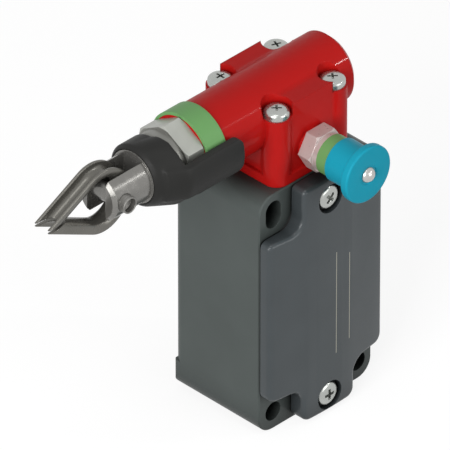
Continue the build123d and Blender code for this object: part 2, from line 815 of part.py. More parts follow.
def make_reset_shaft():
    outer = knob_front_y
    shaft = rod_y(reset_shaft_radius, yoke_front_y, outer, 0, reset_z)
    shaft += rod_y(yoke_stub_radius, yoke_inner_y, yoke_front_y, 0, reset_z)
    dome_radius = (reset_shaft_radius**2 + reset_dome_height**2) / (2 * reset_dome_height)
    ball = Pos(0, outer - reset_dome_height + dome_radius, reset_z) * Sphere(dome_radius)
    dome = ball & rod_y(reset_shaft_radius, outer, outer - reset_dome_height, 0, reset_z)
    return shaft + dome


def make_yoke():
    back = head_y + yoke_reach
    length = back - yoke_front_y
    outline = Pos(0, back - length / 2) * RectangleRounded(2 * yoke_half_width, length, tip_radius / 2)
    outline -= Pos(0, yoke_inner_y + length / 2) * Rectangle(2 * yoke_slot_half, length)
    plate = extrude(Plane.XY.offset(yoke_bottom_z) * outline, amount=yoke_height)
    return plate - rod_y(yoke_stub_radius + running_gap, head_y, yoke_front_y, 0, reset_z)


def make_reset_spring():
    start = reset_wall_y + reset_thread_length + touch_gap
    spring = coil(reset_coil_radius, reset_wire, reset_turns, yoke_front_y - touch_gap - start)
    return Pos(0, start, reset_z) * Rot(-90, 0, 0) * spring


def block_screw_places():
    return [(-block_screw_x, block_screw_lower_z), (block_screw_x, block_screw_upper_z)]


def terminal_places():
    """Give each terminal its side, its way up or down, and the level of its strip."""
    levels = ((1, upper_strip_z), (-1, lower_strip_z))
    return [(side, way, level) for side in (-1, 1) for way, level in levels]


def make_block():
    half = block_width / 2
    block = bar((-half, half), (block_front, block_back), (block_bottom_z, block_top_z))
    block = fillet(block.edges().filter_by(Axis.Y), block_edge_radius)
    chamber_x = (-chamber_half_width, chamber_half_width)
    block -= bar(chamber_x, (block_front, head_y + chamber_back), (chamber_bottom_z, chamber_top_z))
    hole = carrier_hole / 2
    block -= bar((-hole, hole), (head_y - hole, head_y + hole), (block_bottom_z + block_floor, block_top_z))
    for side, way, level in terminal_places():
        z = level + way * terminal_screw_drop
        end = block_front - strip_thick - clamp_thick + terminal_screw_length + free_gap / 2
        block -= rod_y(terminal_screw_radius + thread_gap, block_front, end, side * terminal_x, z)
    for x, z in block_screw_places():
        block -= rod_y(block_screw_radius + touch_gap, block_front, block_back, x, z)
    return block


def make_carrier():
    side = carrier_side / 2
    body = bar((-side, side), (head_y - side, head_y + side), (carrier_bottom_z, carrier_top_z))
    half_width = bridge_width / 2 + touch_gap
    for low in (upper_bridge_z + bridge_thick / 2 - window_height, lower_bridge_z - bridge_thick / 2):
        body -= bar((-side, side), (head_y - half_width, head_y + half_width), (low, low + window_height))
    return body


def make_bridges():
    made = []
    for level, way in ((upper_bridge_z, 1), (lower_bridge_z, -1)):
        strip = Pos(0, head_y, level) * Box(bridge_length, bridge_width, bridge_thick)
        face = level + way * bridge_thick / 2
        for side in (-1, 1):
            x = side * (bridge_length / 2 - rivet_inset)
            strip += rod_z(rivet_radius, face, face + way * rivet_height, x)
        made.append(strip)
    return group(made)


def make_contact_springs():
    length = window_height - bridge_thick - touch_gap
    lower = upper_bridge_z + bridge_thick / 2 - window_height + touch_gap / 2
    upper = lower_bridge_z + bridge_thick / 2 + touch_gap / 2
    spring = coil(contact_coil_radius, contact_wire, contact_turns, length)
    return group([Pos(0, head_y, base) * spring for base in (lower, upper)])


def make_carrier_spring():
    start = block_bottom_z + block_floor + touch_gap
    length = carrier_bottom_z - touch_gap - start
    return Pos(0, head_y, start) * coil(carrier_coil_radius, carrier_wire, carrier_turns, length)


def make_fixed_contacts():
    made = []
    half = strip_width / 2
    for side, way, level in terminal_places():
        edge = chamber_half_width - touch_gap / 2
        low_x = side * strip_inner_x
        rail_x = side * (terminal_x - half)
        far = level + way * strip_thick
        tab = bar((low_x, side * edge), (head_y - half, head_y + half), (level, far))
        rail = bar((rail_x, side * edge), (head_y, block_front - strip_thick), (level, far))
        pad_end = level + way * terminal_pad_height
        pad = bar((rail_x, side * edge), (block_front, block_front - strip_thick), (level, pad_end))
        screw_z = level + way * terminal_screw_drop
        hole = terminal_screw_radius + touch_gap
        pad -= rod_y(hole, block_front, block_front - strip_thick, side * terminal_x, screw_z)
        made.append(tab + rail + pad)
    return group(made)


def make_clamps():
    made = []
    seat = block_front - strip_thick
    for side, way, level in terminal_places():
        z = level + way * terminal_screw_drop
        plate = front_prism(RectangleRounded(clamp_side, clamp_side, clamp_thick), seat, seat - clamp_thick)
        plate -= rod_y(terminal_screw_radius + touch_gap, seat, seat - clamp_thick)
        made.append(Pos(side * terminal_x, 0, z) * plate)
    return group(made)


def make_terminal_screws():
    shank = terminal_screw_radius
    screw = Rot(90, 0, 0) * cross_screw(terminal_head_radius, terminal_head_height, shank, terminal_screw_length)
    seat = block_front - strip_thick - clamp_thick
    made = []
    for side, way, level in terminal_places():
        made.append(Pos(side * terminal_x, seat, level + way * terminal_screw_drop) * screw)
    return group(made)


def make_block_screws():
    length = block_depth + block_screw_grip
    screw = cross_screw(block_screw_head_radius, block_screw_head_height, block_screw_radius, length)
    turned = Rot(90, 0, 0) * screw
    return group([Pos(x, block_front, z) * turned for x, z in block_screw_places()])


def make_earth_screw():
    screw = cross_screw(earth_head_radius, earth_head_height, earth_screw_radius, earth_screw_length)
    seat = cavity_back - earth_boss_height - earth_washer_thick
    return Pos(earth_x, seat, earth_z) * Rot(90, 0, 0) * screw


def make_earth_washer():
    base = cavity_back - earth_boss_height
    ring = rod_y(earth_washer_radius, base, base - earth_washer_thick, earth_x, earth_z)
    return ring - rod_y(earth_screw_radius + touch_gap, base, base - earth_washer_thick, earth_x, earth_z)


head_body, head_seal = make_head()
save("case", make_case())
save("cover", make_cover())
save("cover_gasket", make_gasket())
save("cover_screws", make_cover_screws())
save("head_body", head_body)
save("head_seal", head_seal)
save("head_screws", make_head_screws())
save("green_band", make_band())
save("guide_nut", make_guide_nut())
save("shaft_seal", make_shaft_seal())
save("pull_shaft", make_pull_shaft())
save("fork_pin", make_fork_pin())
save("rope_thimble", make_thimble())
save("indicator_cup", make_cup())
save("main_spring", make_main_spring())
save("spring_washer", make_spring_washer())
save("cam_sleeve", make_cam())
save("keeper_ring", make_keeper())
save("plunger", make_plunger())
save("plunger_bush", make_bush())
save("reset_nut", make_reset_nut())
save("reset_seal", make_reset_seal())
save("reset_band", make_reset_band())
save("reset_knob", make_knob())
save("reset_shaft", make_reset_shaft())
save("latch_yoke", make_yoke())
save("reset_spring", make_reset_spring())
save("contact_block", make_block())
save("contact_carrier", make_carrier())
save("contact_bridges", make_bridges())
save("contact_springs", make_contact_springs())
save("carrier_spring", make_carrier_spring())
save("fixed_contacts", make_fixed_contacts())
save("terminal_clamps", make_clamps())
save("terminal_screws", make_terminal_screws())
save("block_screws", make_block_screws())
save("earth_screw", make_earth_screw())
save("earth_washer", make_earth_washer())
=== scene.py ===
# %% [markdown]
# # A rope pull switch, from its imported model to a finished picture
# The CAD model fixes where every piece is and how it moves. This lesson dresses it: each cell
# explains one piece or finish, then makes it. All lengths are metres, in the frame of the model:
# +Y goes into the wall, the lid faces -Y, the rope leaves towards -X and +Z is up.

# %% Load the frame
import math
from functools import partial

import bmesh
import bpy
from mathutils import Matrix, Vector


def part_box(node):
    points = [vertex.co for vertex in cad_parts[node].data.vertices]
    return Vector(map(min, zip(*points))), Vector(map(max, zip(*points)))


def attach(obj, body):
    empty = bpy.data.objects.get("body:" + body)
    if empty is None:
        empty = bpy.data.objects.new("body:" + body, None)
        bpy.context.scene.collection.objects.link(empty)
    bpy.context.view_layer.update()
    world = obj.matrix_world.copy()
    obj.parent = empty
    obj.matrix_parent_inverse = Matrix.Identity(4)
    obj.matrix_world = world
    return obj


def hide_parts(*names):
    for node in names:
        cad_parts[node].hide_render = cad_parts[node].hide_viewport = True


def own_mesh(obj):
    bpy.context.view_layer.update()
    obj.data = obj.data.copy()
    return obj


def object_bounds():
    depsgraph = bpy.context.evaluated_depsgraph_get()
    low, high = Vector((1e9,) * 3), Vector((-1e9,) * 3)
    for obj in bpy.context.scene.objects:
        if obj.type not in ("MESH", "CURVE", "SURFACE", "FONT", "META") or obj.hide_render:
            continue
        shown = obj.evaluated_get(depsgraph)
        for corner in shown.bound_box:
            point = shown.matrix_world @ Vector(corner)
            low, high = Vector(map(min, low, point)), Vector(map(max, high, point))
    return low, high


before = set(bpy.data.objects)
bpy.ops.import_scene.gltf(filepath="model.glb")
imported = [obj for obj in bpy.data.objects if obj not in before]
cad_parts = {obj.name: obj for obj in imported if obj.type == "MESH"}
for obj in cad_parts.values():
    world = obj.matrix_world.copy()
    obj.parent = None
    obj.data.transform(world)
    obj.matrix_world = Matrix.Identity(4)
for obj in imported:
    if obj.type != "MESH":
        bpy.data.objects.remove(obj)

MM = 0.001
cad_low, cad_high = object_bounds()
cad_box = [list(map(float, cad_low)), list(map(float, cad_high))]
print("CAD box in mm:", [[round(value / MM, 1) for value in corner] for corner in cad_box])

# %% [markdown]
# ## The camera
# The photograph shows the three faces of the case at equal angles and without vanishing points,
# so it was taken, or drawn, in isometric view. A very long lens from far away gives that view.
# The frame is as wide as the photograph's: 450 pixels at 4 pixels to the millimetre.

# %% Camera
SENSOR_MM = 36.0
VIEW_WIDTH = 0.1125
CAMERA_DISTANCE = 3.75
NEAREST, FARTHEST = 0.5, 20
SHIFT_RIGHT, SHIFT_UP = -1.3375 * MM, 3.53 * MM


def put_in_scene(name, data):
    """Make an object of some data and link it to the scene."""
    made = bpy.data.objects.new(name, data)
    bpy.context.scene.collection.objects.link(made)
    return made


view_right = Vector((1, -1, 0)).normalized()
view_up = Vector((1, 1, 2)).normalized()
view_back = view_right.cross(view_up)
view_centre = SHIFT_RIGHT * view_right + SHIFT_UP * view_up

camera_data = bpy.data.cameras.new("photo_camera")
camera_data.sensor_width = SENSOR_MM
camera_data.lens = SENSOR_MM * CAMERA_DISTANCE / VIEW_WIDTH
camera_data.clip_start = NEAREST
camera_data.clip_end = FARTHEST
camera = put_in_scene("photo_camera", camera_data)
place = Matrix((view_right, view_up, view_back)).transposed().to_4x4()
place.translation = view_centre + CAMERA_DISTANCE * view_back
camera.matrix_world = place
bpy.context.scene.camera = camera
bpy.context.scene.view_settings.view_transform = "Standard"
print("lens", round(camera_data.lens), "mm")

# %% [markdown]
# ## Studio
# A product shot has a pale floor, one large soft lamp from the left and weaker ones from the
# front and above. Two small lamps put sharp sparks on the metal. More light would also turn the
# background white, but it would bleach the object. So the floor and the world show white to the
# camera and to reflections only, and the floor still takes a soft shadow.

# %% Helpers for node trees
def add_node(tree, kind, **settings):
    """Add a node and set its properties, or the default of an input of that name."""
    node = tree.nodes.new(kind)
    for name, value in settings.items():
        if name in node.bl_rna.properties:
            setattr(node, name, value)
        else:
            node.inputs[name].default_value = value
    return node


def seen_directly(tree):
    """Give 1 for camera, glossy and transmission rays, and 0 for the rest."""
    path = add_node(tree, "ShaderNodeLightPath")
    first = add_node(tree, "ShaderNodeMath", operation="MAXIMUM")
    second = add_node(tree, "ShaderNodeMath", operation="MAXIMUM")
    tree.links.new(path.outputs["Is Camera Ray"], first.inputs[0])
    tree.links.new(path.outputs["Is Glossy Ray"], first.inputs[1])
    tree.links.new(first.outputs[0], second.inputs[0])
    tree.links.new(path.outputs["Is Transmission Ray"], second.inputs[1])
    return second.outputs[0]


# %% World
WHITE = (1, 1, 1, 1)
AMBIENT = 0.30

world = bpy.data.worlds.new("studio")
world.use_nodes = True
bpy.context.scene.world = world
sky = world.node_tree
dim = add_node(sky, "ShaderNodeBackground", Color=WHITE, Strength=AMBIENT)
white = add_node(sky, "ShaderNodeBackground", Color=WHITE, Strength=1.0)
choose = add_node(sky, "ShaderNodeMixShader")
sky.links.new(seen_directly(sky), choose.inputs[0])
sky.links.new(dim.outputs[0], choose.inputs[1])
sky.links.new(white.outputs[0], choose.inputs[2])
sky.links.new(choose.outputs[0], sky.nodes["World Output"].inputs[0])
print("world nodes:", len(sky.nodes))

# %% Floor
FLOOR_ALBEDO = 0.22
FLOOR_GLOW = 0.84
FLOOR_GAP = 0.2 * MM
FLOOR_HALF = 3.0

floor_finish = bpy.data.materials.new("studio_floor")
floor_finish.use_nodes = True
floor_tree = floor_finish.node_tree
floor_tree.nodes.clear()
matte = add_node(floor_tree, "ShaderNodeBsdfDiffuse", Color=(FLOOR_ALBEDO,) * 3 + (1,))
glow = add_node(floor_tree, "ShaderNodeEmission", Color=WHITE)
scaled = add_node(floor_tree, "ShaderNodeMath", operation="MULTIPLY")
scaled.inputs[1].default_value = FLOOR_GLOW
both = add_node(floor_tree, "ShaderNodeAddShader")
surface = add_node(floor_tree, "ShaderNodeOutputMaterial")
floor_tree.links.new(seen_directly(floor_tree), scaled.inputs[0])
floor_tree.links.new(scaled.outputs[0], glow.inputs["Strength"])
floor_tree.links.new(matte.outputs[0], both.inputs[0])
floor_tree.links.new(glow.outputs[0], both.inputs[1])
floor_tree.links.new(both.outputs[0], surface.inputs[0])

floor_z = cad_box[0][2] - FLOOR_GAP
signs = ((-1, -1), (1, -1), (1, 1), (-1, 1))
floor_mesh = bpy.data.meshes.new("floor")
floor_mesh.from_pydata([(x * FLOOR_HALF, y * FLOOR_HALF, floor_z) for x, y in signs], [], [(0, 1, 2, 3)])
floor_mesh.materials.append(floor_finish)
floor = put_in_scene("floor", floor_mesh)
print("floor at", round(floor_z / MM, 1), "mm")

# %% Lamps
# Each lamp: name, direction from the object, distance, width and power.
lamps = (
    ("left_lamp", (-1.0, -0.35, 0.42), 0.9, 0.5, 5.75),
    ("front_lamp", (0.15, -1.0, 0.25), 1.1, 0.6, 3.6),
    ("top_lamp", (-0.25, -0.15, 1.0), 1.0, 0.35, 1.0),
    ("right_spark", (0.577, -0.652, 0.491), 1.0, 0.05, 0.65),
    ("left_spark", (-0.64, -0.42, 0.64), 1.0, 0.08, 0.5),
)
for name, direction, distance, width, power in lamps:
    data = bpy.data.lights.new(name, "AREA")
    data.shape = "SQUARE"
    data.size = width
    data.energy = power
    lamp = put_in_scene(name, data)
    lamp.location = Vector(direction).normalized() * distance
    lamp.rotation_euler = Vector(direction).to_track_quat("Z", "Y").to_euler()
print("lamps:", len(lamps))

# %% [markdown]
# ## How the finishes are built
# Every finish starts from the Principled shader. Its colour, its gloss and its fine relief come
# from noise in the object's own coordinates, at the size that the real surface shows: cast and
# painted metal has grains of a few tenths of a millimetre, turned steel has rings, and moulded
# plastic has an even, faint grain. What is the same all over is set on the shader itself.

# %% Helpers for finishes
COAT_ROUGHNESS = 0.08
BEVEL_SAMPLES = 6


def finish(name, colour, metallic=0.0, roughness=0.5, gloss=0.5, coat=0.0):
    """Start a finish; give the material, its tree and its shader."""
    made = bpy.data.materials.new(name)
    made.use_nodes = True
    made.diffuse_color = (*colour, 1)
    shader = made.node_tree.nodes["Principled BSDF"]
    shader.inputs["Base Color"].default_value = (*colour, 1)
    shader.inputs["Metallic"].default_value = metallic
    shader.inputs["Roughness"].default_value = roughness
    shader.inputs["Specular IOR Level"].default_value = gloss
    shader.inputs["Coat Weight"].default_value = coat
    shader.inputs["Coat Roughness"].default_value = COAT_ROUGHNESS
    return made, made.node_tree, shader


def grain(tree, size, detail, stretch=(1, 1, 1)):
    """Noise with grains of that size in metres; a stretch below 1 draws them out that way."""
    where = add_node(tree, "ShaderNodeTexCoord")
    turn = add_node(tree, "ShaderNodeMapping", Scale=stretch)
    noise = add_node(tree, "ShaderNodeTexNoise", Scale=1.0 / size, Detail=detail)
    tree.links.new(where.outputs["Object"], turn.inputs["Vector"])
    tree.links.new(turn.outputs["Vector"], noise.inputs["Vector"])
    return noise.outputs["Fac"]


def shade_between(tree, factor, low, high, target, dark=0.3, light=0.7):
    """Lead a factor through a ramp between two colours, or two greys, into a socket."""
    ramp = add_node(tree, "ShaderNodeValToRGB")
    ramp.color_ramp.elements[0].position = dark
    ramp.color_ramp.elements[1].position = light
    ramp.color_ramp.elements[0].color = (*low, 1)
    ramp.color_ramp.elements[1].color = (*high, 1)
    tree.links.new(factor, ramp.inputs["Fac"])
    tree.links.new(ramp.outputs["Color"], target)


def relief(tree, shader, factor, height, strength, rounding):
    """Raise the surface by a factor; rounding softens the shading of edges by that radius."""
    bump = add_node(tree, "ShaderNodeBump", Distance=height, Strength=strength)
    tree.links.new(factor, bump.inputs["Height"])
    if rounding:
        edge = add_node(tree, "ShaderNodeBevel", samples=BEVEL_SAMPLES, Radius=rounding)
        tree.links.new(edge.outputs["Normal"], bump.inputs["Normal"])
    tree.links.new(bump.outputs["Normal"], shader.inputs["Normal"])


# %% Helpers for paint and for metal
PAINT_CLOUD = 12 * MM
PAINT_SWING = 0.06
METAL_CLOUD = 4 * MM
METAL_SWING = 0.08
METAL_RELIEF = 0.6
LEAST_ROUGHNESS = 0.05
DRAWN_OUT = 0.03
mark_stretch = {
    "x": (1, DRAWN_OUT, DRAWN_OUT),
    "y": (DRAWN_OUT, 1, DRAWN_OUT),
    "z": (DRAWN_OUT, DRAWN_OUT, 1),
    "all": (1, 1, 1),
}


def clouded(tree, shader, colour, cloud, spread):
    """Let the colour drift a little darker and lighter with a cloud of noise."""
    low, high = (tuple(min(1.0, value * tone) for value in colour) for tone in (1 - spread, 1 + spread))
    shade_between(tree, cloud, low, high, shader.inputs["Base Color"])


def painted(name, colour, roughness, grain_size, height, spread=0.08, gloss=0.2, rounding=0.0, coat=0.0):
    """Paint on cast metal: a cloudy tone, a fine grain and gloss that changes with the grain."""
    made, tree, shader = finish(name, colour, roughness=roughness, gloss=gloss, coat=coat)
    clouded(tree, shader, colour, grain(tree, PAINT_CLOUD, detail=2.0), spread)
    fine = grain(tree, grain_size, detail=4.0)
    low, high = roughness - PAINT_SWING, roughness + PAINT_SWING
    shade_between(tree, fine, (low,) * 3, (high,) * 3, shader.inputs["Roughness"])
    relief(tree, shader, fine, height, strength=1.0, rounding=rounding)
    return made


def metal(
    name, colour, roughness, axis, ring=0.12 * MM, height=0.002 * MM, spread=0.12, rounding=0.0, shine=1.0
):
    """Metal with tool marks: rings round an axis, or grains all over; less shine is duller."""
    made, tree, shader = finish(name, colour, metallic=shine, roughness=roughness)
    marks = grain(tree, ring, detail=3.0, stretch=mark_stretch[axis])
    clouded(tree, shader, colour, grain(tree, METAL_CLOUD, detail=3.0), spread)
    low, high = max(LEAST_ROUGHNESS, roughness - METAL_SWING), roughness + METAL_SWING
    shade_between(tree, marks, (low,) * 3, (high,) * 3, shader.inputs["Roughness"])
    relief(tree, shader, marks, height, strength=METAL_RELIEF, rounding=rounding)
    return made


# %% [markdown]
# ## Paint on the castings
# The case and the lid are castings under the same dark grey-green paint, and the head is a casting
# in gloss red. An image wrapped round them would show seams, so noise in the object's coordinates
# makes the cloudy tone and the grain. The shade where two faces meet, and next to the head, is
# painted into the colour. A mask drawn by hand would do it for one shape only, so the Ambient
# Occlusion node, which measures how near the next surface is, darkens the paint as painted shade.

# %% Helper for painted shade in corners
SHADE_SAMPLES = 8


def paint_corner_shade(made, reach):
    """Paint shade into the colour where another surface is nearer than the reach."""
    tree = made.node_tree
    base = tree.nodes["Principled BSDF"].inputs["Base Color"]
    # Painted shade: the occlusion darkens the base colour itself, in corners and under nearby parts.
    corner = add_node(tree, "ShaderNodeAmbientOcclusion", samples=SHADE_SAMPLES, Distance=reach)
    tree.links.new(base.links[0].from_socket, corner.inputs["Color"])
    tree.links.new(corner.outputs["Color"], base)


# %% Finishes of the painted castings
case_paint = painted(
    "case_paint", (0.076, 0.090, 0.086), 0.47, grain_size=0.35 * MM, height=0.008 * MM,
    spread=0.05, gloss=0.15, rounding=0.25 * MM, coat=0.15,
)
lid_paint = painted(
    "lid_paint", (0.056, 0.066, 0.071), 0.42, grain_size=0.35 * MM, height=0.008 * MM,
    spread=0.05, gloss=0.15, rounding=0.2 * MM, coat=0.3,
)
head_red = painted(
    "head_red", (0.45, 0.008, 0.007), 0.45, grain_size=1.6 * MM, height=0.002 * MM,
    spread=0.04, gloss=0.05, rounding=0.7 * MM, coat=0.12,
)
# Painted shade: the case and the lid get darker in corners and next to other parts.
paint_corner_shade(case_paint, reach=12 * MM)
paint_corner_shade(lid_paint, reach=8 * MM)
print("painted castings ready")

# %% [markdown]
# ## Metals
# The guide nut is a light alloy, the reset nut is nickel plated, the fork, its pin and the thimble
# are stainless steel, and the screws are zinc plated. Fully metallic pieces turn black wherever
# they mirror nothing, so the outer ones are only partly metallic, which keeps their grey.

# %% Finishes of the metals outside
nut_alloy = metal(
    "nut_alloy", (0.42, 0.43, 0.395), 0.42, "all", ring=0.5 * MM, spread=0.05, rounding=0.2 * MM, shine=0.5
)
nut_nickel = metal(
    "nut_nickel", (0.55, 0.47, 0.45), 0.34, "all", ring=0.6 * MM, height=0.0003 * MM, spread=0.04,
    rounding=0.2 * MM, shine=0.3,
)
shaft_steel = metal(
    "shaft_steel", (0.200, 0.195, 0.183), 0.24, "all", ring=1.5 * MM, height=0.0002 * MM, spread=0.04,
    rounding=0.2 * MM, shine=0.55,
)
tip_steel = metal(
    "tip_steel", (0.50, 0.49, 0.47), 0.20, "y", ring=0.5 * MM, height=0.0003 * MM, spread=0.04,
    rounding=0.1 * MM, shine=0.8,
)
pin_steel = metal(
    "pin_steel", (0.205, 0.200, 0.188), 0.25, "y", ring=0.5 * MM, height=0.0006 * MM, spread=0.06,
    rounding=0.1 * MM, shine=0.6,
)
thimble_steel = metal(
    "thimble_steel", (0.140, 0.135, 0.120), 0.25, "all", ring=2.5 * MM, height=0.0003 * MM, spread=0.06,
    rounding=0.35 * MM, shine=0.6,
)
zinc = metal(
    "zinc_plate", (0.42, 0.435, 0.415), 0.24, "all", ring=0.8 * MM, height=0.001 * MM, spread=0.06,
    rounding=0.1 * MM, shine=0.9,
)
print("outer metals ready")

# %% Finishes of the metals inside
zinc_dull = metal("zinc_dull", (0.50, 0.51, 0.49), 0.42, "all", ring=0.2 * MM, spread=0.06)
spring_steel = metal("spring_steel", (0.30, 0.30, 0.31), 0.30, "all", ring=0.3 * MM)
cam_steel = metal("cam_steel", (0.38, 0.38, 0.39), 0.22, "x")
plunger_steel = metal("plunger_steel", (0.40, 0.40, 0.40), 0.24, "z")
brass = metal("brass", (0.66, 0.46, 0.17), 0.30, "all", ring=0.3 * MM)
print("inner metals ready")

# %% [markdown]
# ## Plastics and rubber
# The cup is black moulded plastic, the knob is blue, the two bands are green and the seals are
# rubber. A mould leaves an even skin, which a plain colour could stand for, but it would look like
# a computer picture. So the helper for paint serves here too, with a weaker grain.

# %% Finishes of the plastics and rubber
band_green = painted(
    "band_green", (0.150, 0.345, 0.120), 0.45, grain_size=0.3 * MM, height=0.004 * MM, spread=0.03,
    rounding=0.15 * MM,
)
ring_green = painted(
    "ring_green", (0.150, 0.330, 0.110), 0.40, grain_size=0.3 * MM, height=0.004 * MM, spread=0.03
)
cup_black = painted(
    "cup_black", (0.020, 0.020, 0.019), 0.45, grain_size=0.4 * MM, height=0.004 * MM, gloss=0.13
)
knob_blue = painted(
    "knob_blue", (0.012, 0.330, 0.460), 0.40, grain_size=0.5 * MM, height=0.003 * MM, spread=0.03, gloss=0.08
)
black_rubber = painted(
    "black_rubber", (0.014, 0.014, 0.014), 0.65, grain_size=0.3 * MM, height=0.01 * MM, spread=0.1
)
block_plastic = painted(
    "block_plastic", (0.025, 0.025, 0.028), 0.45, grain_size=0.4 * MM, height=0.006 * MM, spread=0.06
)
carrier_plastic = painted(
    "carrier_plastic", (0.68, 0.66, 0.60), 0.40, grain_size=0.4 * MM, height=0.004 * MM, spread=0.03
)
print("plastics ready")

# %% [markdown]
# ## Which piece has which finish
# Most pieces of the real switch are plain shapes that the CAD model has already. Each of them
# could be modelled again, but where the shape is right the CAD mesh is kept and only gets its
# finish. Pieces that are made anew further down stand for their CAD piece, which is then hidden.

# %% Finishes on the CAD pieces
finishes = {
    case_paint: ["case"],
    lid_paint: ["cover"],
    head_red: ["head_body"],
    nut_alloy: ["guide_nut"],
    nut_nickel: ["reset_nut"],
    shaft_steel: ["pull_shaft"],
    tip_steel: ["reset_shaft"],
    pin_steel: ["fork_pin"],
    thimble_steel: ["rope_thimble"],
    zinc: ["cover_screws", "head_screws"],
    zinc_dull: [
        "spring_washer", "latch_yoke", "terminal_clamps", "terminal_screws", "block_screws", "earth_washer",
    ],
    spring_steel: ["main_spring", "reset_spring", "carrier_spring", "contact_springs", "keeper_ring"],
    cam_steel: ["cam_sleeve"],
    plunger_steel: ["plunger"],
    brass: ["plunger_bush", "fixed_contacts", "contact_bridges", "earth_screw"],
    band_green: ["green_band"],
    ring_green: ["reset_band"],
    cup_black: ["indicator_cup"],
    knob_blue: ["reset_knob"],
    black_rubber: ["cover_gasket", "head_seal", "shaft_seal", "reset_seal"],
    block_plastic: ["contact_block"],
    carrier_plastic: ["contact_carrier"],
}
for made, names in finishes.items():
    for name in names:
        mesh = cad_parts[name].data
        mesh.materials.clear()
        mesh.materials.append(made)
dressed = {name for names in finishes.values() for name in names}
print("pieces without a finish:", sorted(set(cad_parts) - dressed))

# %% [markdown]
# ## The printed lines on the lid
# Two thin pale lines run up the right half of the lid. They are ink, with no thickness that an
# eye could see, so they belong in the lid's paint: a mask on the object's own X and Z coordinates
# picks the two strips, and the paint changes to pale ink there.

# %% Helpers for masks
def maths(tree, operation, *terms):
    """Add a Math node; each term is a socket or a number. Give its output."""
    node = tree.nodes.new("ShaderNodeMath")
    node.operation = operation
    for socket, term in zip(node.inputs, terms):
        if isinstance(term, bpy.types.NodeSocket):
            tree.links.new(term, socket)
        else:
            socket.default_value = term
    return node.outputs[0]


def own_place(tree):
    """Give the X, Y and Z of the object's own coordinates."""
    split = add_node(tree, "ShaderNodeSeparateXYZ")
    tree.links.new(add_node(tree, "ShaderNodeTexCoord").outputs["Object"], split.inputs[0])
    return split.outputs


def tint(tree, mask, colour):
    """Change the finish's colour to another one where the mask is 1."""
    base = tree.nodes["Principled BSDF"].inputs["Base Color"]
    mixed = add_node(tree, "ShaderNodeMix", data_type="RGBA")
    before, after = mixed.inputs[6], mixed.inputs[7]
    tree.links.new(mask, mixed.inputs["Factor"])
    tree.links.new(base.links[0].from_socket, before)
    after.default_value = (*colour, 1)
    tree.links.new(mixed.outputs[2], base)


# %% Ink lines in the lid's paint
LINE_HALF_WIDTH = 0.11 * MM
INK = (0.42, 0.41, 0.34)
# Each line: its X, the Z of its lower end and the Z of its upper end.
ink_lines = ((2.15 * MM, -18.2 * MM, 12.6 * MM), (6.95 * MM, -16.2 * MM, 10.1 * MM))

lid_tree = lid_paint.node_tree
calc = partial(maths, lid_tree)
x, _, z = own_place(lid_tree)
masks = []
for line_x, low_z, high_z in ink_lines:
    across = calc("LESS_THAN", calc("ABSOLUTE", calc("SUBTRACT", x, line_x)), LINE_HALF_WIDTH)
    along = calc("MULTIPLY", calc("GREATER_THAN", z, low_z), calc("LESS_THAN", z, high_z))
    masks.append(calc("MULTIPLY", across, along))
tint(lid_tree, calc("ADD", *masks), INK)
print("ink lines:", len(masks))

# %% [markdown]
# ## Painted shade on the neck of the guide nut
# The hexagon of the nut is bright, and its round neck lies in shade under the cup. The same kind
# of mask paints that shade: everything in front of the hexagon's face gets a darker tone.

# %% Painted shade on the neck of the nut
NUT_FACE_X = -39.45 * MM
NECK_SHADE = (0.235, 0.235, 0.215)
nut_tree = nut_alloy.node_tree
nut_x = own_place(nut_tree)[0]
# Painted shade: the neck's darker colour stands for the shade under the cup.
tint(nut_tree, maths(nut_tree, "LESS_THAN", nut_x, NUT_FACE_X), NECK_SHADE)
print("neck toned")

# %% [markdown]
# ## Geometry Nodes: how a tree becomes a piece
# What repeats, or follows a rule, is grown by a tree of Geometry Nodes. A tree gets its sizes
# through named inputs. It is run once on a small start mesh, its result becomes a plain mesh, and
# the modifier goes, so that the finished piece is as simple as any other.

# %% Helpers for geometry trees
def start_tree(name, sizes):
    """Start a tree with a geometry input, one input for each size, and one for the finish."""
    tree = bpy.data.node_groups.new(name, "GeometryNodeTree")
    face = tree.interface
    face.new_socket("Geometry", in_out="INPUT", socket_type="NodeSocketGeometry")
    for label in sizes:
        face.new_socket(label, in_out="INPUT", socket_type="NodeSocketFloat")
    face.new_socket("Finish", in_out="INPUT", socket_type="NodeSocketMaterial")
    face.new_socket("Geometry", in_out="OUTPUT", socket_type="NodeSocketGeometry")
    return tree, tree.nodes.new("NodeGroupInput").outputs, tree.nodes.new("NodeGroupOutput").inputs


def place_node(tree, kind, settings=None, **wires):
    """Add a node, set its properties, and fill its inputs by name with sockets or values."""
    node = tree.nodes.new(kind)
    for name, value in (settings or {}).items():
        setattr(node, name, value)
    for name, value in wires.items():
        socket = node.inputs[name.replace("_", " ")]
        if isinstance(value, bpy.types.NodeSocket):
            tree.links.new(value, socket)
        else:
            socket.default_value = value
    return node


def vector(tree, x, y, z):
    """Join three sockets or numbers into one vector."""
    return place_node(tree, "ShaderNodeCombineXYZ", X=x, Y=y, Z=z).outputs[0]


def point_place(tree):
    """Give the X, Y and Z of every point."""
    spot = place_node(tree, "GeometryNodeInputPosition").outputs[0]
    return place_node(tree, "ShaderNodeSeparateXYZ", Vector=spot).outputs


# %% Helpers that end a tree and run it
def close_tree(tree, given, result, geometry, crease):
    """End a tree: real geometry, smooth shading with crisp creases, and the finish."""
    add = partial(place_node, tree)
    real = add("GeometryNodeRealizeInstances", Geometry=geometry)
    smooth = add("GeometryNodeSetShadeSmooth", Geometry=real.outputs[0], Shade_Smooth=True)
    bend = add("GeometryNodeInputMeshEdgeAngle").outputs["Unsigned Angle"]
    creased = add(
        "GeometryNodeSetShadeSmooth", {"domain": "EDGE"}, Geometry=smooth.outputs[0],
        Selection=maths(tree, "GREATER_THAN", bend, crease), Shade_Smooth=False,
    )
    coloured = add("GeometryNodeSetMaterial", Geometry=creased.outputs[0], Material=given["Finish"])
    tree.links.new(coloured.outputs[0], result["Geometry"])


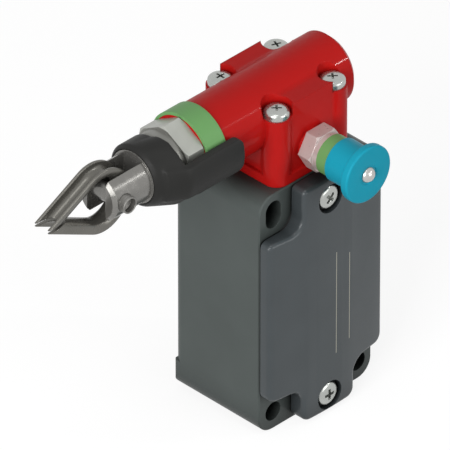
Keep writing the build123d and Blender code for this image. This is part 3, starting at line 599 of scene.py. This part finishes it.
def settle(piece):
    """Turn a piece with live modifiers into a plain mesh, and give the mesh."""
    graph = bpy.context.evaluated_depsgraph_get()
    mesh = bpy.data.meshes.new_from_object(piece.evaluated_get(graph), depsgraph=graph)
    piece.modifiers.clear()
    piece.data = mesh
    return mesh


def give_finish(mesh, made):
    """Give all faces of a mesh the same finish."""
    mesh.materials.clear()
    mesh.materials.append(made)
    mesh.polygons.foreach_set("material_index", [0] * len(mesh.polygons))


def grow(name, tree, start_mesh, sizes, made):
    """Run a tree once on a start mesh and give the result as a plain mesh object."""
    piece = put_in_scene(name, start_mesh)
    modifier = piece.modifiers.new("grow", "NODES")
    modifier.node_group = tree
    for item in tree.interface.items_tree:
        if item.in_out == "INPUT" and item.name in sizes:
            modifier[item.identifier] = sizes[item.name]
        if item.in_out == "INPUT" and item.name == "Finish":
            modifier[item.identifier] = made
    give_finish(settle(piece), made)
    print(name, "faces:", len(piece.data.polygons))
    return piece


def print_reach(piece):
    """Print how far a piece reaches along each axis, in millimetres."""
    for index, axis in enumerate("xyz"):
        values = [vertex.co[index] / MM for vertex in piece.data.vertices]
        print(piece.name, axis, round(min(values), 2), round(max(values), 2))


# %% [markdown]
# ## The screws
# Six pan-head screws with a cross recess hold the lid and the head. Their heads are low domes
# with a short straight rim, and each stands at its own angle, as a screwdriver leaves it. Modelled
# by hand they would be six separate jobs. One tree makes the screw from its sizes and sets it on
# the points of a start mesh.

# %% Tree of the screws: the domed head
SCREW_SIZES = (
    "Head radius", "Head height", "Shank radius", "Shank length",
    "Recess span", "Recess width", "Recess depth", "Tilt",
)
SIDES = 56
RINGS = 14
RIM_SHARE = 0.34
DOME_POWER = 0.62
TINY = 0.001 * MM

screw_tree, given, result = start_tree("pan_head_screws", SCREW_SIZES)
add, calc, join = (partial(helper, screw_tree) for helper in (place_node, maths, vector))
blank = add(
    "GeometryNodeMeshCylinder", {"fill_type": "TRIANGLE_FAN"}, Vertices=SIDES, Side_Segments=1,
    Fill_Segments=RINGS, Radius=given["Head radius"], Depth=given["Head height"],
)
x, y, z = point_place(screw_tree)
radius = calc("SQRT", calc("ADD", calc("MULTIPLY", x, x), calc("MULTIPLY", y, y)))
angle = calc("MULTIPLY", calc("DIVIDE", radius, given["Head radius"]), math.pi / 2)
dome_radius = calc("MULTIPLY", calc("POWER", calc("SINE", angle), DOME_POWER), given["Head radius"])
dome_rise = calc("POWER", calc("MAXIMUM", calc("COSINE", angle), 0.0), DOME_POWER)
dome_share = calc("ADD", calc("MULTIPLY", dome_rise, 1 - RIM_SHARE), RIM_SHARE)
dome_height = calc("MULTIPLY", dome_share, given["Head height"])
on_top = calc("GREATER_THAN", z, 0.0)
grow_out = calc("DIVIDE", dome_radius, calc("MAXIMUM", radius, TINY))
factor = calc("ADD", calc("MULTIPLY", on_top, calc("SUBTRACT", grow_out, 1.0)), 1.0)
domed = join(calc("MULTIPLY", x, factor), calc("MULTIPLY", y, factor), calc("MULTIPLY", on_top, dome_height))
dome = add("GeometryNodeSetPosition", Geometry=blank.outputs["Mesh"], Position=domed)
print("nodes for the head:", len(screw_tree.nodes))

# %% Tree of the screws: shank and cross recess
SHANK_SIDES = 32
SHANK_DROP = 0.49
TAPER = 0.36

shank = add(
    "GeometryNodeMeshCylinder", {"fill_type": "NGON"},
    Vertices=SHANK_SIDES, Radius=given["Shank radius"], Depth=given["Shank length"],
)
shank_place = join(0.0, 0.0, calc("MULTIPLY", given["Shank length"], -SHANK_DROP))
shank_down = add("GeometryNodeTransform", Geometry=shank.outputs["Mesh"], Translation=shank_place)
whole = add("GeometryNodeMeshBoolean", {"operation": "UNION", "solver": "EXACT"})
screw_tree.links.new(dome.outputs[0], whole.inputs["Mesh 2"])
screw_tree.links.new(shank_down.outputs[0], whole.inputs["Mesh 2"])

recess_height = calc("MULTIPLY", given["Recess depth"], 2.0)
blade_size = join(given["Recess span"], given["Recess width"], recess_height)
blade = add("GeometryNodeMeshCube", Size=blade_size)
x, y, z = point_place(screw_tree)
narrowing = calc("MULTIPLY", calc("LESS_THAN", z, 0.0), -TAPER)
slim = calc("MULTIPLY", x, calc("ADD", narrowing, 1.0))
tapered = add("GeometryNodeSetPosition", Geometry=blade.outputs["Mesh"], Position=join(slim, y, z))
recess = add(
    "GeometryNodeMeshBoolean", {"operation": "DIFFERENCE", "solver": "EXACT"}, Mesh_1=whole.outputs[0]
)
for quarter in (0.0, math.pi / 2):
    cutter = add(
        "GeometryNodeTransform", Geometry=tapered.outputs[0],
        Translation=join(0.0, 0.0, given["Head height"]), Rotation=(0.0, 0.0, quarter),
    )
    screw_tree.links.new(cutter.outputs[0], recess.inputs["Mesh 2"])
print("nodes with shank and recess:", len(screw_tree.nodes))

# %% Tree of the screws: set on the points, each turned by its own angle
TURN_SEED = 5

set_on = add(
    "GeometryNodeInstanceOnPoints", Points=given["Geometry"], Instance=recess.outputs[0],
    Rotation=join(given["Tilt"], 0.0, 0.0),
)
turn = add("FunctionNodeRandomValue", {"data_type": "FLOAT"}, Seed=TURN_SEED)
most_turn, drawn_turn = turn.inputs[3], turn.outputs[1]
most_turn.default_value = math.pi / 2
turned = add(
    "GeometryNodeRotateInstances", Instances=set_on.outputs[0], Rotation=join(0.0, 0.0, drawn_turn),
    Local_Space=True,
)
close_tree(screw_tree, given, result, turned.outputs[0], crease=0.45)
print("screw tree nodes:", len(screw_tree.nodes))

# %% Screws of the lid and of the head
HEAD_Y = -16.1
LUG_SPREAD = 9.8
LUG_TOP_Z = 55.2
LID_SCREW_SEAT_Y = -32.9
LID_SCREW_Z = 30
lid_screw = {
    "Head radius": 3.35 * MM, "Head height": 2.2 * MM, "Shank radius": 2.0 * MM, "Shank length": 7.2 * MM,
    "Recess span": 3.9 * MM, "Recess width": 0.85 * MM, "Recess depth": 1.4 * MM, "Tilt": math.pi / 2,
}
head_screw = {
    "Head radius": 3.3 * MM, "Head height": 2.4 * MM, "Shank radius": 1.75 * MM, "Shank length": 27.0 * MM,
    "Recess span": 3.2 * MM, "Recess width": 0.55 * MM, "Recess depth": 1.3 * MM, "Tilt": 0.0,
}
spread = (-LUG_SPREAD, LUG_SPREAD)
lid_screw_places = [(0, LID_SCREW_SEAT_Y, z) for z in (LID_SCREW_Z, -LID_SCREW_Z)]
head_screw_places = [(x, HEAD_Y + y, LUG_TOP_Z) for x in spread for y in spread]

for name, places, sizes in (
    ("cover_screws", lid_screw_places, lid_screw),
    ("head_screws", head_screw_places, head_screw),
):
    points = bpy.data.meshes.new(name + "_points")
    points.from_pydata([tuple(value * MM for value in spot) for spot in places], [], [])
    screws = grow(name + "_domed", screw_tree, points, sizes, zinc)
    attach(screws, "switch_body")
    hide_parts(name)

# %% [markdown]
# ## The springs
# Three coil springs are wound anew: the big one round the pull shaft, the one of the reset shaft
# and the one under the contact carrier. Each is wound to the length of the CAD piece that it stands
# for, and that piece is hidden.

# %% Tree of the springs
COIL_STEPS = 36
WIRE_SIDES = 14

coil_tree, given, result = start_tree("wound_spring", ("Coil radius", "Wire radius", "Turns", "Length"))
add, calc, join = (partial(helper, coil_tree) for helper in (place_node, maths, vector))
wound_height = calc("SUBTRACT", given["Length"], calc("MULTIPLY", given["Wire radius"], 2.0))
winding = add(
    "GeometryNodeCurveSpiral", Resolution=COIL_STEPS, Rotations=given["Turns"],
    Start_Radius=given["Coil radius"], End_Radius=given["Coil radius"], Height=wound_height,
)
wire = add("GeometryNodeCurvePrimitiveCircle", Resolution=WIRE_SIDES, Radius=given["Wire radius"])
coiled = add(
    "GeometryNodeCurveToMesh", Curve=winding.outputs[0], Profile_Curve=wire.outputs[0], Fill_Caps=True
)
seated = add(
    "GeometryNodeTransform", Geometry=coiled.outputs[0], Translation=join(0.0, 0.0, given["Wire radius"])
)
close_tree(coil_tree, given, result, seated.outputs[0], crease=1.0)
print("spring tree nodes:", len(coil_tree.nodes))

# %% Springs
# Each entry: piece, axis, coil radius, wire and turns, then its body, its joint and the travel in mm.
springs = (
    ("main_spring", "X", 4.9, 1.2, 6.5, "switch_body", "rope_pull", 12.0),
    ("reset_spring", "Y", 2.75, 0.5, 3.0, "switch_body", "reset_pull", 3.0),
    ("carrier_spring", "Z", 2.4, 0.6, 5.0, "switch_body", "plunger_drop", 2.4),
)
COIL_ROOM = 0.02
turn_to = {
    "X": Matrix.Rotation(math.pi / 2, 4, "Y"),
    "Y": Matrix.Rotation(-math.pi / 2, 4, "X"),
    "Z": Matrix.Identity(4),
}
for name, along, coil_radius, wire_thick, turns, body, joint, travel in springs:
    low_corner, high_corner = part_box(name)
    index = "XYZ".index(along)
    length = high_corner[index] - low_corner[index]
    seat = (low_corner + high_corner) / 2
    seat[index] = low_corner[index]
    sizes = {
        "Coil radius": (coil_radius - COIL_ROOM) * MM, "Wire radius": wire_thick / 2 * MM,
        "Turns": turns, "Length": length,
    }
    spring = grow(name + "_wound", coil_tree, bpy.data.meshes.new(name + "_start"), sizes, spring_steel)
    spring.data.transform(Matrix.Translation(seat) @ turn_to[along])
    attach(spring, body)
    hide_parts(name)
    direction = Vector((0, 0, 0))
    direction[index] = 1
    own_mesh(spring)

# %% [markdown]
# ## The rope thimble
# The thimble is a steel channel, open outwards for the rope, bent round a bow and run together to
# a point. Cut from a block it would need a groove that follows the bow. Its line follows a rule: an
# arc of a little more than half a circle, then two straight legs. So a tree bends the line, carries
# the channel's section along it, cuts the leg off at the slit, and mirrors the half to a whole.

# %% Rounded outlines
def rounded_outline(corners, steps=7):
    """Replace each corner (x, y, radius) of a closed outline by points on a small arc."""
    points = []
    for index, (px, py, radius) in enumerate(corners):
        here = Vector((px, py))
        before = (Vector(corners[index - 1][:2]) - here).normalized()
        after = (Vector(corners[(index + 1) % len(corners)][:2]) - here).normalized()
        half = before.angle(after) / 2
        centre = here + (before + after).normalized() * radius / math.sin(half)
        start = here + before * radius / math.tan(half) - centre
        end = here + after * radius / math.tan(half) - centre
        sweep = start.angle_signed(end)
        for step in range(steps + 1):
            turned_arm = start.copy()
            turned_arm.rotate(Matrix.Rotation(-sweep * step / steps, 2))
            points.append(centre + turned_arm)
    return points


# %% Section of the channel
CHANNEL_DEPTH = 3.3
CHANNEL_WIDTH = 5.4
CHANNEL_WALL = 0.85
GROOVE_FLOOR = 1.1
GROOVE_RADIUS = 1.65
CROWN_RADIUS = 2.4
RIM_RADIUS = 0.3

half_width = CHANNEL_WIDTH / 2
groove_half = half_width - CHANNEL_WALL
channel_corners = [
    (0, -half_width, CROWN_RADIUS),
    (CHANNEL_DEPTH, -half_width, RIM_RADIUS),
    (CHANNEL_DEPTH, -groove_half, RIM_RADIUS),
    (GROOVE_FLOOR, -groove_half, GROOVE_RADIUS),
    (GROOVE_FLOOR, groove_half, GROOVE_RADIUS),
    (CHANNEL_DEPTH, groove_half, RIM_RADIUS),
    (CHANNEL_DEPTH, half_width, RIM_RADIUS),
    (0, half_width, CROWN_RADIUS),
]
section_points = [(point.x * MM, point.y * MM, 0) for point in rounded_outline(channel_corners)]
count = len(section_points)
section_mesh = bpy.data.meshes.new("channel_section")
section_mesh.from_pydata(section_points, [(index, (index + 1) % count) for index in range(count)], [])
print("points in the channel's section:", count)

# %% Tree of the thimble: the bent channel
BEND_SIZES = ("Bow radius", "Half angle", "Leg length", "Bow x", "Axis y", "Axis z", "Slit")
BEND_STEPS = 150

bend_tree, given, result = start_tree("bent_channel", BEND_SIZES)
add, calc, join = (partial(helper, bend_tree) for helper in (place_node, maths, vector))
bow = given["Bow radius"]
arc_length = calc("MULTIPLY", calc("ADD", given["Half angle"], math.pi / 2), bow)
whole_length = calc("ADD", arc_length, given["Leg length"])
straight = add("GeometryNodeCurvePrimitiveLine")
divided = add("GeometryNodeResampleCurve", Curve=straight.outputs[0], Count=BEND_STEPS)
share = add("GeometryNodeSplineParameter").outputs["Factor"]
gone = calc("MULTIPLY", share, whole_length)
bend_angle = calc("DIVIDE", calc("MINIMUM", gone, arc_length), bow)
run = calc("MAXIMUM", calc("SUBTRACT", gone, arc_length), 0.0)
cosine, sine = calc("COSINE", bend_angle), calc("SINE", bend_angle)
line_x = calc("SUBTRACT", calc("MULTIPLY", cosine, bow), calc("MULTIPLY", sine, run))
line_z = calc("ADD", calc("MULTIPLY", sine, bow), calc("MULTIPLY", cosine, run))
bent = add("GeometryNodeSetPosition", Geometry=divided.outputs[0], Position=join(line_x, 0.0, line_z))
faced = add(
    "GeometryNodeSetCurveNormal", {"mode": "FREE"}, Curve=bent.outputs[0], Normal=join(cosine, 0.0, sine)
)
section_line = add("GeometryNodeMeshToCurve", Mesh=given["Geometry"])
channel = add(
    "GeometryNodeCurveToMesh", Curve=faced.outputs[0], Profile_Curve=section_line.outputs[0], Fill_Caps=True
)
print("nodes for the channel:", len(bend_tree.nodes))

# %% Tree of the thimble: cut at the slit and mirrored
CUTTER_SIDE = 60 * MM
SEAM_MERGE = 0.002 * MM

cutter_z = calc("SUBTRACT", calc("MULTIPLY", given["Slit"], 0.5), CUTTER_SIDE / 2)
cutter = add("GeometryNodeMeshCube", Size=(CUTTER_SIDE,) * 3)
cutter_down = add(
    "GeometryNodeTransform", Geometry=cutter.outputs["Mesh"],
    Translation=join(-CUTTER_SIDE / 2, 0.0, cutter_z),
)
pointed = add(
    "GeometryNodeMeshBoolean", {"operation": "DIFFERENCE", "solver": "EXACT"}, Mesh_1=channel.outputs[0]
)
bend_tree.links.new(cutter_down.outputs[0], pointed.inputs["Mesh 2"])
off_seam = calc("ABSOLUTE", point_place(bend_tree)[2])
opened = add(
    "GeometryNodeDeleteGeometry", {"domain": "FACE", "mode": "ONLY_FACE"},
    Geometry=pointed.outputs[0], Selection=calc("LESS_THAN", off_seam, TINY),
)
mirrored = add("GeometryNodeTransform", Geometry=opened.outputs[0], Scale=(1.0, 1.0, -1.0))
turned_out = add("GeometryNodeFlipFaces", Mesh=mirrored.outputs[0])
both_halves = add("GeometryNodeJoinGeometry")
bend_tree.links.new(opened.outputs[0], both_halves.inputs[0])
bend_tree.links.new(turned_out.outputs[0], both_halves.inputs[0])
closed = add("GeometryNodeMergeByDistance", Geometry=both_halves.outputs[0], Distance=SEAM_MERGE)
put = add(
    "GeometryNodeTransform", Geometry=closed.outputs[0],
    Translation=join(given["Bow x"], given["Axis y"], given["Axis z"]),
)
close_tree(bend_tree, given, result, put.outputs[0], crease=0.6)
print("thimble tree nodes:", len(bend_tree.nodes))

# %% Thimble
TUBE_Z = 51.9
bend = {
    "Bow radius": 5.7 * MM, "Half angle": math.radians(27.04), "Leg length": 22 * MM,
    "Bow x": -62.4 * MM, "Axis y": HEAD_Y * MM, "Axis z": TUBE_Z * MM, "Slit": 0.9 * MM,
}
thimble = grow("rope_thimble_bent", bend_tree, section_mesh, bend, thimble_steel)
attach(thimble, "thimble")
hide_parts("rope_thimble")
print_reach(thimble)

# %% [markdown]
# ## The blue knob
# The knob is a turned shape: a straight skirt over the green ring, a short throat, and a flange
# with a soft rim. Stacked cylinders with a bevel would need one setting for each rim. So its outline
# is drawn once, with a radius at each corner, and spun round the shaft's axis.

# %% Helper for turned pieces
SPIN_STEPS = 128
SPIN_CREASE = 0.6


def spun(name, outline, centre_x, centre_z, made):
    """Spin a closed outline of (radius, y) round an axis along Y into a piece."""
    shape = bmesh.new()
    rings = []
    for radius_mm, y_mm in outline:
        ring = []
        for step in range(SPIN_STEPS):
            around = 2 * math.pi * step / SPIN_STEPS
            spot = (centre_x + radius_mm * math.cos(around), y_mm, centre_z + radius_mm * math.sin(around))
            ring.append(shape.verts.new([value * MM for value in spot]))
        rings.append(ring)
    for index, ring in enumerate(rings):
        following = rings[(index + 1) % len(rings)]
        for step in range(SPIN_STEPS):
            other = (step + 1) % SPIN_STEPS
            shape.faces.new((ring[step], ring[other], following[other], following[step]))
    bmesh.ops.recalc_face_normals(shape, faces=shape.faces)
    for face in shape.faces:
        face.smooth = True
    for edge in shape.edges:
        edge.smooth = edge.calc_face_angle(0) < SPIN_CREASE
    mesh = bpy.data.meshes.new(name)
    shape.to_mesh(mesh)
    shape.free()
    mesh.materials.append(made)
    print(name, "faces:", len(mesh.polygons))
    return put_in_scene(name, mesh)


# %% Knob
# Each corner of the outline: distance from the axis, Y and rounding, in millimetres.
RESET_Z = 43.5
knob_corners = [
    (5.55, -38.6, 0.1),
    (5.9, -38.6, 0.2),
    (5.8, -45.3, 0.9),
    (7.85, -46.1, 0.4),
    (7.85, -48.2, 0.55),
    (2.75, -48.2, 0.1),
    (2.75, -47.95, 0.1),
    (2.1, -47.95, 0.05),
    (2.1, -41.6, 0.05),
    (5.55, -41.6, 0.2),
]
knob = spun("reset_knob_turned", rounded_outline(knob_corners), 0.0, RESET_Z, knob_blue)
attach(knob, "reset_body")
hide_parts("reset_knob")

# %% [markdown]
# ## The pin of the fork
# The pin is a turned rod whose two ends are drilled out, so each end shows a dark round hollow
# in a thin bright rim. The hollows could be cut by a boolean, but the pin is round all over, so it
# is spun like the knob, round the line across the fork. Both ends come from one half outline.

# %% Pin
PIN_X = -59.1
PIN_HALF = 8.4
PIN_RADIUS = 2.3
HOLLOW_RADIUS = 1.85
HOLLOW_DEPTH = 1.7
HOLLOW_POINT = 0.5
CORE = 0.02
# Each corner of the half outline: distance from the axis, distance from the middle, rounding.
pin_end = [
    (CORE, PIN_HALF - HOLLOW_DEPTH - HOLLOW_POINT, 0.005),
    (HOLLOW_RADIUS, PIN_HALF - HOLLOW_DEPTH, 0.05),
    (HOLLOW_RADIUS, PIN_HALF, 0.12),
    (PIN_RADIUS, PIN_HALF, 0.2),
]
pin_corners = [(radius, HEAD_Y - reach, corner) for radius, reach, corner in pin_end]
pin_corners += [(radius, HEAD_Y + reach, corner) for radius, reach, corner in reversed(pin_end)]
pin = spun("fork_pin_drilled", rounded_outline(pin_corners), PIN_X, TUBE_Z, pin_steel)
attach(pin, "pull_rod")
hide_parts("fork_pin")

# %% [markdown]
# ## The lid
# The lid is a cross-shaped casting with a crowned front. A bevel on the CAD mesh would catch on its
# many loose triangles, so the lid is laid out anew. Its outline has twelve corners, and each ring
# of the lid is that outline moved inwards by some amount at some depth: the flat back, the rounded
# front edge, and the lip that goes down into the case. Between two rings go quads. The front is
# then cut into narrow strips and pushed out along the crown, and each screw gets a sink.

# %% Rings of the lid
LID_HALF = 20.0
LID_TOP = 36.0
LID_BOTTOM = -34.6
TAB_HALF = 9.1
LOBE_Z = 24.1
NOTCH_RADIUS = 4.0
TOP_CORNER, BOTTOM_CORNER = 1.5, 2.6
UPPER_LOBE_CORNER, LOWER_LOBE_CORNER = 1.8, 2.7
LEAST_CORNER = 0.3
LIP_TOP, LIP_BOTTOM = 27.4, -28.9
LIP_CORNER, LIP_NOTCH = 0.4, 1.5
LIP_END_Y = -28.3
LIP_OUTSIDE = 2.65
LIP_INSIDE = 3.85
LID_BACK_Y = -30.5
LID_EDGE_Y = -33.5
EDGE_ROUND = 1.1
EDGE_STEPS = 6
WALL = 2.2


def lid_ring(inset, y_mm, lip=False):
    """Give the outline of the lid, or of its lip, moved inwards, as points at one depth."""
    top, bottom = (LIP_TOP, LIP_BOTTOM) if lip else (LID_TOP, LID_BOTTOM)
    wide, narrow, lobe = LID_HALF - inset, TAB_HALF - inset, LOBE_Z - inset
    top_corner, bottom_corner, notch = TOP_CORNER - inset, BOTTOM_CORNER - inset, NOTCH_RADIUS + inset
    if lip:
        top_corner, bottom_corner, notch = LIP_CORNER, LIP_CORNER, LIP_NOTCH
    upper_lobe = max(LEAST_CORNER, UPPER_LOBE_CORNER - inset)
    lower_lobe = max(LEAST_CORNER, LOWER_LOBE_CORNER - inset)
    right = [
        (narrow, top - inset, top_corner),
        (narrow, lobe, notch),
        (wide, lobe, upper_lobe),
        (wide, -lobe, lower_lobe),
        (narrow, -lobe, notch),
        (narrow, bottom + inset, bottom_corner),
    ]
    left = [(-x_mm, z_mm, corner) for x_mm, z_mm, corner in reversed(right)]
    return [(point.x, y_mm, point.y) for point in rounded_outline(right + left)]


rings = [
    lid_ring(LIP_INSIDE, LID_EDGE_Y + WALL, lip=True),
    lid_ring(LIP_INSIDE, LIP_END_Y, lip=True),
    lid_ring(LIP_OUTSIDE, LIP_END_Y, lip=True),
    lid_ring(LIP_OUTSIDE, LID_BACK_Y, lip=True),
    lid_ring(0, LID_BACK_Y),
]
for step in range(EDGE_STEPS + 1):
    around = math.pi / 2 * step / EDGE_STEPS
    inset, depth = EDGE_ROUND * (1 - math.cos(around)), EDGE_ROUND * (1 - math.sin(around))
    rings.append(lid_ring(inset, LID_EDGE_Y + depth))
print("rings:", len(rings), "points in each:", {len(ring) for ring in rings})

# %% Body of the lid
STRIP = 1.25
CUT_TOLERANCE = 1e-7
CROWN_RISE = 1.7
CROWNED_BELOW = -31.0

shape = bmesh.new()
loops = [[shape.verts.new([value * MM for value in spot]) for spot in ring] for ring in rings]
for loop, following in zip(loops, loops[1:]):
    for index in range(len(loop)):
        other = (index + 1) % len(loop)
        shape.faces.new((loop[index], loop[other], following[other], following[index]))
shape.faces.new(loops[0])
shape.faces.new(loops[-1])
bmesh.ops.recalc_face_normals(shape, faces=shape.faces)
cuts = int(LID_HALF / STRIP)
for index in range(1 - cuts, cuts):
    bmesh.ops.bisect_plane(
        shape, geom=shape.verts[:] + shape.edges[:] + shape.faces[:], dist=CUT_TOLERANCE,
        plane_co=(index * STRIP * MM, 0, 0), plane_no=(1, 0, 0),
    )
for vertex in shape.verts:
    if vertex.co.y < CROWNED_BELOW * MM:
        vertex.co.y -= CROWN_RISE * MM * (1 - (vertex.co.x / (LID_HALF * MM)) ** 2)
lid_mesh = bpy.data.meshes.new("cover_crowned")
shape.to_mesh(lid_mesh)
shape.free()
lid = put_in_scene("cover_crowned", lid_mesh)
print("lid faces before drilling:", len(lid_mesh.polygons))

# %% Screw sinks of the lid
SINK_RADIUS = 4.1
SHANK_HOLE_RADIUS = 2.1
DRILL_SIDES = 64
OVERCUT = 0.5
LID_CREASE = 0.5


def drill(piece, z_mm, radius_mm, near_y, far_y):
    """Cut a round hole along Y out of the middle of a piece."""
    tool = bmesh.new()
    place = Matrix.Translation((0, (near_y + far_y) / 2 * MM, z_mm * MM))
    bmesh.ops.create_cone(
        tool, cap_ends=True, segments=DRILL_SIDES, radius1=radius_mm * MM, radius2=radius_mm * MM,
        depth=abs(far_y - near_y) * MM, matrix=place @ Matrix.Rotation(math.pi / 2, 4, "X"),
    )
    tool_mesh = bpy.data.meshes.new("drill")
    tool.to_mesh(tool_mesh)
    tool.free()
    drill_bit = put_in_scene("drill", tool_mesh)
    cut = piece.modifiers.new("cut", "BOOLEAN")
    cut.operation = "DIFFERENCE"
    cut.solver = "EXACT"
    cut.object = drill_bit
    settle(piece)
    bpy.data.objects.remove(drill_bit)


for z_mm in (LID_SCREW_Z, -LID_SCREW_Z):
    drill(lid, z_mm, SINK_RADIUS, LID_SCREW_SEAT_Y, LID_EDGE_Y - 2 * CROWN_RISE)
    drill(lid, z_mm, SHANK_HOLE_RADIUS, LIP_END_Y, LID_SCREW_SEAT_Y - OVERCUT)
give_finish(lid.data, lid_paint)
lid.data.shade_smooth()
lid.data.set_sharp_from_angle(angle=LID_CREASE)
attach(lid, "switch_body")
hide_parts("cover")
print("lid faces:", len(lid.data.polygons))
print_reach(lid)

# %% [markdown]
# ## The black cup
# The cup is moulded in one with its arm, so nothing on it is sharp and the arm grows out of the
# cup without a crease. A bevel would break off where arm and cup meet. The CAD shape has the right
# size, so a copy of it is turned into an even skin of small faces, and the skin is relaxed: a
# little all over, and much more where the arm begins.

# %% Even skin of the cup
SKIN_STEP = 0.24 * MM

source = bmesh.new()
source.from_mesh(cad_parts["indicator_cup"].data)
bmesh.ops.remove_doubles(source, verts=source.verts, dist=TINY)
cup_mesh = bpy.data.meshes.new("indicator_cup_moulded")
source.to_mesh(cup_mesh)
source.free()
cup = put_in_scene("indicator_cup_moulded", cup_mesh)
skin = cup.modifiers.new("skin", "REMESH")
skin.mode = "VOXEL"
skin.voxel_size = SKIN_STEP
even_mesh = settle(cup)
print("points of the skin:", len(even_mesh.vertices))

# %% Relaxed skin of the cup
ARM_START = (-48.6, -46.5, -41.0, -38.5)
ARM_SIDE = (-21.0, -23.5)
RELAX_STEPS = 5
MELT_STEPS = 70
RELAX_FACTOR = 0.5


def rise(value, low, high):
    """Go smoothly from 0 at low to 1 at high; high may be the smaller one."""
    part = min(1.0, max(0.0, (value - low) / (high - low)))
    return part * part * (3 - 2 * part)


root = cup.vertex_groups.new(name="arm_root")
for vertex in even_mesh.vertices:
    x_mm, y_mm = vertex.co.x / MM, vertex.co.y / MM
    along = rise(x_mm, ARM_START[0], ARM_START[1]) * rise(x_mm, ARM_START[3], ARM_START[2])
    root.add([vertex.index], along * rise(y_mm, *ARM_SIDE), "REPLACE")
for label, steps, group in (("relax", RELAX_STEPS, ""), ("melt", MELT_STEPS, "arm_root")):
    relax = cup.modifiers.new(label, "SMOOTH")
    relax.factor = RELAX_FACTOR
    relax.iterations = steps
    relax.vertex_group = group
moulded_mesh = settle(cup)
cup.vertex_groups.clear()
give_finish(moulded_mesh, cup_black)
moulded_mesh.shade_smooth()
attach(cup, "pull_rod")
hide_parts("indicator_cup")
print("cup faces:", len(moulded_mesh.polygons))
